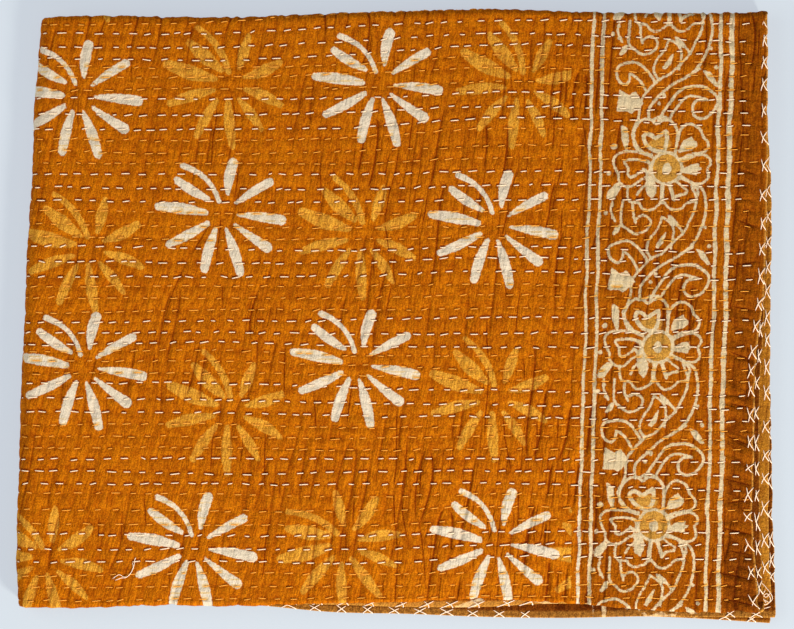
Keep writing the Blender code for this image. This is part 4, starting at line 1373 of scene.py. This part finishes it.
def thread_material(name, colour, shade, rough):
    """Twisted thread: its colour, with painted shade between the strands, uneven along it, and
    painted shade where its ends go into the cloth."""
    material, tree, shader = new_material(name)
    along_thread = add_node(tree, "ShaderNodeUVMap", {"uv_map": "thread"}).outputs["UV"]
    twist = add_node(tree, "ShaderNodeGroup", {"node_tree": weave}, Place=along_thread,
                     Threads=1300.0, Slub=2.0)
    ridge = between(tree, twist.outputs["Height"], 0.2, 0.7)
    mixed = blend(tree, times(tree, twist.outputs["Thin"], 0.5), colour, shade)
    twisted = blend(tree, times_plus(tree, ridge, -0.25, 0.25), mixed, shade)
    end = between(tree, read(tree, "end"), 0.7, 1.05)
    tree.links.new(blend(tree, end, twisted, THREAD_END_SHADE), shader["Base Color"])
    tree.links.new(between(tree, twist.outputs["Thin"], 0.2, 0.8, rough, 0.95),
                   shader["Roughness"])
    shader["Specular IOR Level"].default_value = 0.1
    tree.links.new(bump(tree, twist.outputs["Height"], 0.8, 0.00012), shader["Normal"])
    return material


cotton = printed_cotton()
white_cotton = thread_material("white_thread", (1.0, 0.79, 0.53, 1), (1.0, 0.74, 0.47, 1), 0.7)
ochre_cotton = thread_material("ochre_thread", (0.98, 0.42, 0.05, 1), (0.88, 0.34, 0.04, 1), 0.7)
hem_cotton = thread_material("hem_thread", (1.0, 0.80, 0.60, 1), (0.95, 0.68, 0.46, 1), 0.7)
print("materials:", [m.name for m in (cotton, white_cotton, ochre_cotton, hem_cotton)])

# %% [markdown]
# ## The cloth
# The quilt is one cloth, made here as five sheets that meet end to end, so that each can be as
# fine as it needs: the border and the field on top, the face underneath, and the two leaves that
# lie folded inside. The border has the finest print, so its grid is the closest.

# %% Rows and columns of the five sheets
NEAR_FOLD = 0.013                   # of a panel: where the outer sheets give way to the inner ones
IN_A_LINE_STEP = np.array([0, 0.1, 0.35, 0.65, 0.9])    # rows lie closest at the sewing
BELOW_LINES, ABOVE_LINES, TOP_LINE = 4, 7, 1


def outer_rows(columns, fine):
    """Rows of the outer sheets: the foot of B, the bottom fold, C, the wrap, and the head of D.
    On C the rows follow the stitch lines, so that each line's groove gets rows of its own. A row
    is a place between two lines, and its height is found twice, since x changes a little with it.
    Below the last line and above the first, the rows spread evenly to the fold and the wrap."""
    places = (np.arange(LINE_COUNT - 1, TOP_LINE, -1)[:, None] - IN_A_LINE_STEP).ravel()
    places = np.append(places, TOP_LINE)
    for _ in range(fine - 1):
        places = np.sort(np.append(places, (places[1:] + places[:-1]) / 2))[::-1]
    below, above = BELOW_LINES * fine, ABOVE_LINES * fine
    plain = flat_rows("C", np.linspace(0, 1, below + len(places) + above)[1:], 1)
    fold_turn = np.linspace(0, np.pi, 4 * fine + 1)
    wrap_turn = np.linspace(0, np.pi, 6 * fine + 1)[1:]
    rows = join_rows(
        flat_rows("B", np.linspace(NEAR_FOLD, 0, 2 * fine + 1)[:-1], -1),
        turn_rows("B", "C", fold_turn, 1, (1, 0, -SMALL_RADIUS * (np.pi - fold_turn))), plain,
        turn_rows("C", "D", wrap_turn, 1, (0, 1, WRAP_RADIUS * wrap_turn)),
        flat_rows("D", np.linspace(1, 1 - NEAR_FOLD, 2 * fine + 1)[1:], -1))
    share, angle = columns.share[:, None], columns.angle[:, None]
    ups = np.broadcast_to(rows.up, (len(share), len(rows.up))).copy()
    first = 6 * fine + 1
    on_c = slice(first, first + len(plain.up))
    for _ in range(2):
        row = plain._replace(up=ups[:, on_c])
        at = stack_at(share, angle, row)
        flat_x = unrolled(share, angle, row)[0][:, below - 1:below - 1 + len(places)]
        heights = line_heights(flat_x)
        upper = np.clip(np.floor(places), 0, LINE_COUNT - 2).astype(int)
        column, row_number = np.indices(flat_x.shape)
        high, low = (heights[upper[row_number] + i, column, row_number] for i in (0, 1))
        y = high + (places - upper) * (low - high)
        bottom, top = (v[:, :1] + y[:, :1] * 0 for v in (at.fold, at.top))
        under = bottom + (y[:, :1] - bottom) * np.arange(1, below) / below
        over = y[:, -1:] + (top - y[:, -1:]) * np.arange(1, above + 1) / above
        ups[:, on_c] = (np.concatenate([under, y, over], axis=1) - at.fold) / (at.top - at.fold)
    return rows._replace(up=ups)


def inner_fold_rows():
    """Rows of the inner leaf that is folded once: B upwards, the inner fold, and A downwards."""
    angles = np.linspace(0, np.pi, 7)
    top = turn_rows("B", "A", angles, -1, (2, -1, -SMALL_RADIUS * (np.pi + angles)))
    up = stations((NEAR_FOLD, 0.05, 6), (0.05, 0.99, 74))
    down = stations((0.99, 0.03, 72), (0.03, 0, 8))
    return join_rows(flat_rows("B", up, -1), top, flat_rows("A", down, 1))


BORDER_WIDE, HEM_WIDE = 150 * MM, 12 * MM       # of the cloth, from the hem
face_columns = columns_of(stations((BORDER_WIDE, HALF_WIDTH, 286)), 14)
border_columns = columns_of(stations((0, BORDER_WIDE, 132)))
under_columns = columns_of(under=stations((0, HALF_WIDTH, 130)))
leaf_over = stations((0, HEM_WIDE, 8), (HEM_WIDE, HALF_WIDTH, 126))
leaf_under = stations((0, HALF_WIDTH - HEM_WIDE, 60), (HALF_WIDTH - HEM_WIDE, HALF_WIDTH, 8))[1:]
leaf_columns = columns_of(leaf_over, 6, leaf_under)
leaf_rows = flat_rows("D", stations((1 - NEAR_FOLD, 0.03, 76), (0.03, 0, 8)), -1)
print("columns:", len(border_columns.share), len(face_columns.share), len(leaf_columns.share))

# %% The five sheets
Sheet = namedtuple("Sheet", "columns rows skip rims amount")
LEAF_RELIEF = 0.3                   # the inner leaves lie pressed, so they show this much relief
SHEETS = {
    "quilt_border": Sheet(border_columns, outer_rows(border_columns, 2), (6, 8), (0, 0, 0, 1), 1),
    "quilt_face": Sheet(face_columns, outer_rows(face_columns, 1), (6, 4), (0, 0, 0, 0), 1),
    "quilt_underside": Sheet(under_columns, outer_rows(under_columns, 1), (5, 4), (0, 1, 0, 0), 1),
    "quilt_inner_fold": Sheet(leaf_columns, inner_fold_rows(), (1, 1), (0, 1, 1, 1), LEAF_RELIEF),
    "quilt_inner_leaf": Sheet(leaf_columns, leaf_rows, (1, 1), (0, 1, 1, 1), LEAF_RELIEF),
}
cloth, flat_size = {}, {}
for name, sheet in SHEETS.items():
    cloth[name], flat_size[name] = make_sheet(name, *sheet, cotton)
print({name: tuple(round(v, 3) for v in size) for name, size in flat_size.items()})

# %% [markdown]
# ## Stitches on the cloth
# The thread lies on the folded cloth, so each stitch needs the way back: from a place on the flat
# cloth to its place in the folded quilt. The row and the share are found by going round three
# times, because the hem and the fold lie elsewhere at each height.

# %% From the flat cloth to the outer skin
WAY_STEP = 0.5 * MM                 # how far apart the two points are that give the way off


def skin_rows(up, wrapped, folded):
    """Rows of the outer skin at shares up panel C, or at angles round the wrap or the fold."""
    none = up * 0
    lower = WRAP_RADIUS * (np.cos(wrapped) - 1) + SMALL_RADIUS * (np.cos(folded) - 1)
    return Rows(np.clip(up, 0, 1), LEVELS["C"] + lower,
                WRAP_RADIUS * np.sin(wrapped) - SMALL_RADIUS * np.sin(folded),
                np.sin(wrapped) - np.sin(folded), np.cos(wrapped) * np.cos(folded),
                none.astype(int), none, none, none, none)


def on_skin(flat_x, flat_y, height):
    """Points on the outer skin over places on the flat cloth, at a height above its relief, and
    the way off the cloth there."""
    shape = flat_x.shape
    x, y = flat_x.ravel(), flat_y.ravel()
    share, angle = x * 0 + 0.5, x * 0
    up, wrapped, folded = x * 0 + 0.5, x * 0, x * 0
    for _ in range(3):
        row = skin_rows(up, wrapped, folded)
        at = stack_at(share, angle, row)
        up = (y - at.fold) / (at.top - at.fold)
        wrapped = np.clip((y - at.top) / (WRAP_RADIUS * at.pitch), 0, np.pi)
        folded = np.clip((at.fold - y) / (SMALL_RADIUS * at.pitch), 0, np.pi)
        out = (row.level + FIRST_RADIUS) * at.pitch
        past = at.fold_x - x
        angle = np.clip(past / out, 0, np.pi)
        from_fold = np.where(past < 0, -past, np.maximum(past - np.pi * out, 0))
        share = from_fold / (at.hem_x - at.fold_x)
    row = skin_rows(up, wrapped, folded)
    over = CLOTH / 2 + lifted(x, y, sewing_at(x, y), angle, 1.0) + height.ravel()
    found = point_and_way(share, angle, row, over, over + WAY_STEP)
    return tuple(v.reshape(*shape, 3) for v in found)


# %% [markdown]
# A stitch is a short tube with rounded ends, which dive into the cloth. All the tubes of one kind
# are one mesh, made from whole arrays: a path for each stitch, a ring of points round each path
# point, and the faces of one tube repeated with an offset.

# %% Many tubes in one mesh
FLOOR_GAP = -0.2 * MM               # thread under the quilt is pressed flat here


def make_tubes(name, paths, ups, radii, round_steps, material):
    """Tubes along paths (tube, point, xyz). Ups points away from the cloth, and radii gives each
    ring's half thickness. A ring is radius * (cos * up + sin * side)."""
    count, long, _ = paths.shape
    ahead = np.gradient(paths, axis=1)
    side = np.cross(ups, ahead)
    side /= np.linalg.norm(side, axis=2, keepdims=True)
    ups = np.cross(ahead, side)
    ups /= np.linalg.norm(ups, axis=2, keepdims=True)
    around = np.arange(round_steps) * 2 * np.pi / round_steps
    ring = (np.cos(around)[:, None] * ups[:, :, None] + np.sin(around)[:, None] * side[:, :, None])
    radii = np.broadcast_to(radii, (count, long))
    points = paths[:, :, None] + radii[:, :, None, None] * ring
    points[..., 2] = np.maximum(points[..., 2], FLOOR_GAP)
    index = np.arange(long * round_steps).reshape(long, round_steps)
    ahead_index = np.roll(index, -1, axis=1)
    quads = np.stack([index[:-1], ahead_index[:-1], ahead_index[1:], index[1:]], -1).reshape(-1, 4)
    offsets = np.arange(count)[:, None, None] * index.size
    caps = np.stack([index[0, ::-1], index[-1]])
    faces = [*(quads + offsets).reshape(-1, 4).tolist(),
             *(caps + offsets).reshape(-1, round_steps).tolist()]
    piece = add_object(name, points.reshape(-1, 3), faces, material)
    run = np.concatenate([np.zeros((count, 1)), np.cumsum(
        np.linalg.norm(np.diff(paths, axis=1), axis=2), axis=1)], axis=1)
    start = np.arange(count)[:, None] * 0.037
    along_tube = np.repeat((run + start).ravel(), round_steps)
    round_tube = np.tile(around / (2 * np.pi) * 3 / 1300.0, count * long)
    add_uv(piece.data, "thread", np.stack([round_tube, along_tube + round_tube], axis=1))
    end = np.abs(np.linspace(-1, 1, long)) ** 4
    add_values(piece.data, "end", np.tile(np.repeat(end, round_steps), count))
    piece.data.calc_loop_triangles()
    print(f"{name}: {count} tubes, {len(piece.data.loop_triangles)} triangles")
    return piece


# %% The running stitches
WHITE_HALF, OCHRE_HALF = 0.46 * MM, 0.38 * MM
END_DIP = 0.75 * MM                 # how far a stitch's ends go into the cloth
ARCH, END_SLIMMER = 0.15 * MM, 0.45


def running_stitches(name, chosen, half, points, round_steps, material, sunk=0.0):
    """Stitches of one thread. Along its length a stitch is an arch: its ends dip by the fifth
    power of the way from its middle, and get thinner by the fourth. Underneath, the quilt's own
    weight has sunk it into the cloth."""
    line = np.broadcast_to(np.arange(LINE_COUNT)[:, None], STITCH_X.shape)[chosen]
    x, long = STITCH_X[chosen], STITCH_LONG[chosen]
    way = np.linspace(-1, 1, points)
    along_x = x[:, None] + 0.5 * long[:, None] * way
    heights = line_heights(along_x)[line, np.arange(len(x))]
    along_y = heights + STITCH_LIFT[chosen][:, None] + STITCH_TILT[chosen][:, None] * way
    arch = half * 0.75 - END_DIP * np.abs(way) ** 5 + ARCH * (1 - way ** 2) - sunk
    paths, ups = on_skin(along_x, along_y, np.broadcast_to(arch, along_x.shape))
    radii = half * (1 - END_SLIMMER * np.abs(way) ** 4)
    return make_tubes(name, paths, ups, radii, round_steps, material)


stitch_y = np.array([line.middle for line in STITCH_LINES])[:, None] * MM + STITCH_X * 0
fold_there = along(DOWN, "left_fold", stitch_y) + OUTER_RADIUS * PITCH_AT_FOLD + CLOTH / 2
hem_there = along(DOWN, "hem_c", stitch_y) - UNDER_DRAWN_IN
last_x = 2 * fold_there - hem_there - np.pi * (OUTER_RADIUS * PITCH_AT_FOLD) + 14 * MM
on_top = STITCH_X > -300 * MM
under = ~on_top & (STITCH_X > last_x)
white_line = np.broadcast_to(IS_WHITE[:, None], STITCH_X.shape)
stitches = [
    running_stitches("white_stitches", on_top & white_line, WHITE_HALF, 6, 6, white_cotton),
    running_stitches("ochre_stitches", on_top & ~white_line, OCHRE_HALF, 6, 6, ochre_cotton),
    running_stitches("white_stitches_under", under & white_line, WHITE_HALF, 4, 5, white_cotton,
                     0.5 * MM),
    running_stitches("ochre_stitches_under", under & ~white_line, OCHRE_HALF, 4, 5, ochre_cotton,
                     0.4 * MM),
]

# %% [markdown]
# ## Crossed stitches along the hems
# Each hem is bound with small crossed stitches, every couple of centimetres. A bar of thread starts
# on one side of the cloth, goes over the hem, and comes back on the other side, and a second bar
# crosses it.

# %% The path of one bar over a hem
HEM_THREAD_HALF = 0.4 * MM
CROSS_HALF = 5.6 * MM               # half of a cross's height along the side hem
REACH_KEYS, REACH_SHARES = (-230 * MM, -120 * MM, 0, 230 * MM), (1.2, 1.0, 0.8, 0.7)
PANEL_REACH = {"C": 1.0, "B": 0.55, "A": 0.85, "D": 0.6}
BOTTOM_HALF, BOTTOM_REACH = 4.6 * MM, 0.8
HemPoint = namedtuple("HemPoint", "past depth along")       # past and depth in millimetres
HEM_PATH = [HemPoint(*row) for row in (
    (-5.4, 1, -1), (-4, 1.5, -0.5), (-2.4, 1.55, 0), (-0.9, 1.5, 0.5), (0.85, 0.7, 0.95),
    (0.85, -0.7, 1), (-1.2, -1.4, 0.75), (-4, -1.2, 0.4),
)]
past, depth, along_cross = (np.array([getattr(p, k) for p in HEM_PATH]) for k in HemPoint._fields)
WAYS = np.array([1, -1])[:, None, None]                     # of the two bars of a cross
BOTTOM_STEP = 21.6
BOTTOM_CROSSES = {                  # along X, in millimetres; those that show, and on both ways
    "A": np.append(np.arange(-283, -10, BOTTOM_STEP), [1.6, 22.4, 41.6, 64, 88.8, 108]),
    "D": np.append(np.arange(-290, 100, BOTTOM_STEP), [267, 289]),
}
TALL_UNEVEN, REACH_UNEVEN = 0.14, 0.12
hem_draw = np.random.default_rng(23)


def bars(share, angle, row, count):
    """The bars' paths from their places on the cloth, and which way is off the cloth. On top, a
    panel that lies face down has its crosses on its back, where they can be seen."""
    seen_side = np.where(row.face_level + angle < 0, -1, 1)
    deep = np.broadcast_to(depth * MM, (2, count, len(HEM_PATH))).ravel() * seen_side
    found = point_and_way(share, share * 0 + angle, row, deep, 1.3 * deep)
    return tuple(v.reshape(-1, len(HEM_PATH), 3) for v in found)


def uneven_cross(middle):
    """For each cross its own height and reach, a little uneven, and how far its bars are apart
    along the hem at each point of their path."""
    tall = hem_draw.normal(1, TALL_UNEVEN, (1, len(middle), 1))
    reach = hem_draw.normal(1, REACH_UNEVEN, (2, len(middle), 1))
    return middle[:, None], WAYS * tall * along_cross, reach * past * MM


def side_crosses(panel, angle):
    """Both bars of each cross down the side hem of a panel, in the upper or the lower half."""
    middle = HEM_CROSSES[panel] - (0.5 * HEM_STEP if angle else 0)
    middle = middle[middle > -230 * MM]
    around, apart, reach = uneven_cross(middle)
    reach = reach * np.interp(around, REACH_KEYS, REACH_SHARES) * PANEL_REACH[panel]
    row, at = hem_rows(panel, (around + CROSS_HALF * apart).ravel(), angle, 0.5)
    share = 1 + reach.ravel() / (at.hem_x - at.fold_x)
    return bars(share, angle, row, len(middle))


def bottom_crosses(panel, angle):
    """Both bars of each cross along the bottom hem of a panel, in the upper or the lower half."""
    middle = (BOTTOM_CROSSES[panel] * MM - ACROSS[0].x * MM) / SPAN
    around, apart, reach = uneven_cross(middle)
    share = (around + BOTTOM_HALF / SPAN * apart).ravel()
    facing = 1 if panel in "AC" else -1
    at = stack_at(share, share * 0 + angle, flat_rows(panel, share * 0, facing))
    up = -BOTTOM_REACH * reach.ravel() / (at.top - at.y)
    return bars(share, angle, flat_rows(panel, up, facing), len(middle))


# %% The crossed stitches of the hems
HEMS = [(side_crosses, panel, angle) for panel in "CBAD" for angle in (0.0, np.pi)]
HEMS += [(bottom_crosses, panel, angle) for panel in "AD" for angle in (0.0, np.pi)]
made = [hem(panel, angle) for hem, panel, angle in HEMS]
bar_paths, bar_ups = (np.concatenate(parts) for parts in zip(*made))
bar_half = HEM_THREAD_HALF * np.array([0.7, 1, 1, 1, 1, 1, 1, 0.7])
crosses = make_tubes("hem_stitches", bar_paths, bar_ups, bar_half, 5, hem_cotton)

# %% [markdown]
# ## Loose threads
# A few ends were never snipped: a curl near the left corner, and a tangle at the corner of panel A.
# Each is a smooth curve through a few given points, on panel C or A.

# %% Loose threads
LooseThread = namedtuple("LooseThread", "panel rise points")     # points in millimetres
LOOSE_THREADS = [LooseThread(*row) for row in (
    ("C", 0.5, ((-227, -210.4), (-221.6, -206.9), (-217.6, -208.8), (-213.4, -207.3), (-210, -201),
     (-208.9, -194.6), (-208, -193.6))),
    ("C", 0.8, ((-224.6, -211.4), (-220, -209.6), (-215.6, -209), (-211.8, -205), (-210.2, -200.6),
     (-211, -197.5))),
    ("A", 0.6, ((290, -212), (295.6, -216.4), (301.8, -225), (299.5, -229.4), (294, -227.5),
     (291.2, -231.8), (294.6, -234.4), (300.6, -233))),
    ("A", 1.2, ((296.4, -219.4), (292.4, -226.8), (295.8, -231.6), (300.4, -228), (297.6, -222.6),
     (294.4, -225.6), (297, -230.6))),
    ("A", 1.0, ((289.6, -226.4), (292.6, -222.6), (296.6, -225.4), (300, -222.4))),
)]
LOOSE_POINTS = 26


def loose_path(loose):
    """Points along one loose thread, and the way off the cloth."""
    keys = np.arange(len(loose.points), dtype=float)
    at_key = np.linspace(0, keys[-1], LOOSE_POINTS)
    x, y = (smooth(keys, np.array(v) * MM, at_key) for v in zip(*loose.points))
    rise = loose.rise * MM + 0.35 * MM * hills(x, y, 3 * MM, 3 * MM, 71)
    if loose.panel == "C":
        return on_skin(x, y, rise)
    row, at = hem_rows(loose.panel, y, 0.0, 0.0)
    share = (x - at.fold_x) / (at.hem_x - at.fold_x)
    over = CLOTH / 2 + rise
    return point_and_way(share, share * 0, row, over, over + WAY_STEP)


loose_paths, loose_ups = (np.stack(parts) for parts in zip(*map(loose_path, LOOSE_THREADS)))
loose_threads = make_tubes("loose_threads", loose_paths, loose_ups, 0.3 * MM, 6, hem_cotton)

# %% [markdown]
# ## Floor, light and camera
# The quilt was photographed from straight above on a pale floor, in soft light from the lower
# right. A large soft lamp stands there, low enough to bring out the puckers, and a pale world
# fills the shadows. A long lens from far above keeps the edges upright.

# %% Floor
FLOOR_HALF = 2.5
floor_mesh = bpy.data.meshes.new("floor")
corners = [(-FLOOR_HALF, -FLOOR_HALF), (FLOOR_HALF, -FLOOR_HALF), (FLOOR_HALF, FLOOR_HALF),
           (-FLOOR_HALF, FLOOR_HALF)]
floor_mesh.from_pydata([(x, y, -0.3 * MM) for x, y in corners], [], [(0, 1, 2, 3)])
floor = bpy.data.objects.new("floor", floor_mesh)
bpy.context.scene.collection.objects.link(floor)
floor_paint, tree, shader = new_material("floor_paint")
ground = add_node(tree, "ShaderNodeTexCoord").outputs["Object"]
paint = blend(tree, noise(tree, ground, 3.0), (0.146, 0.166, 0.162, 1), (0.156, 0.178, 0.174, 1))
tree.links.new(paint, shader["Base Color"])
shader["Roughness"].default_value = 0.7
shader["Emission Color"].default_value = (0.474, 0.512, 0.578, 1)
shader["Emission Strength"].default_value = 1.0
floor_mesh.materials.append(floor_paint)
floor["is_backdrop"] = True

# %% Light
KEY_FROM, KEY_SIZE, KEY_POWER = (1.3, -1.96, 1.33), 0.5, 104.0
FILL_FROM, FILL_SIZE, FILL_POWER = (-1.7, 0.2, 1.7), 2.0, 30.0
WORLD_COLOUR, WORLD_STRENGTH = (0.92, 0.95, 1.0, 1), 0.375


def soft_lamp(name, place_from, size, power, colour):
    """A square lamp that shines at the quilt."""
    lamp = bpy.data.lights.new(name, "AREA")
    lamp.energy, lamp.size, lamp.color = power, size, colour
    made_lamp = bpy.data.objects.new(name, lamp)
    made_lamp.location = place_from
    towards = -Vector(place_from)
    made_lamp.rotation_euler = towards.to_track_quat("-Z", "Y").to_euler()
    bpy.context.scene.collection.objects.link(made_lamp)
    return made_lamp


soft_lamp("key_light", KEY_FROM, KEY_SIZE, KEY_POWER, (1.0, 0.97, 0.93))
soft_lamp("fill_light", FILL_FROM, FILL_SIZE, FILL_POWER, (0.93, 0.96, 1.0))
world = bpy.data.worlds.new("pale_room")
world.use_nodes = True
world.node_tree.nodes["Background"].inputs["Color"].default_value = WORLD_COLOUR
world.node_tree.nodes["Background"].inputs["Strength"].default_value = WORLD_STRENGTH
bpy.context.scene.world = world
bpy.context.scene.view_settings.view_transform = "Standard"

# %% Camera
PICTURE_WIDTH = 0.6352                  # metres across the picture at the top of the quilt
PICTURE_MIDDLE = (0.8 * MM, 1.2 * MM)
LENS, FILM = 200.0, 36.0                # millimetres
camera_data = bpy.data.cameras.new("camera")
camera_data.lens, camera_data.sensor_width = LENS, FILM
camera_data.clip_end = 20.0
camera = bpy.data.objects.new("camera", camera_data)
away = PICTURE_WIDTH * LENS / FILM
camera.location = (PICTURE_MIDDLE[0] + SHIFT[0], PICTURE_MIDDLE[1] + SHIFT[1], cad_high[2] + away)
bpy.context.scene.collection.objects.link(camera)
bpy.context.scene.camera = camera
print("camera is", round(away, 3), "m above the quilt")

# %% [markdown]
# ## The pieces on the body
# Every piece rides on the one body, in place of the CAD quilt, which is hidden.

# %% Attach each piece to the body
for piece in (*cloth.values(), *stitches, crosses, loose_threads):
    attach(piece, "root")
    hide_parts("quilt")
SEWN_ON = {
    "quilt_border": stitches[:2], "quilt_face": [*stitches[:2], loose_threads],
    "quilt_underside": stitches[2:],
    "quilt_inner_fold": [crosses], "quilt_inner_leaf": [crosses],
}
for name, piece in cloth.items():
    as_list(SEWN_ON[name])

# %% The finished box beside the CAD box
new_low, new_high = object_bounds()
boxes = {"cad": [list(cad_low), list(cad_high)], "visual": [list(new_low), list(new_high)]}
print("boxes in mm:", {k: [[round(v / MM, 1) for v in p] for p in b] for k, b in boxes.items()})
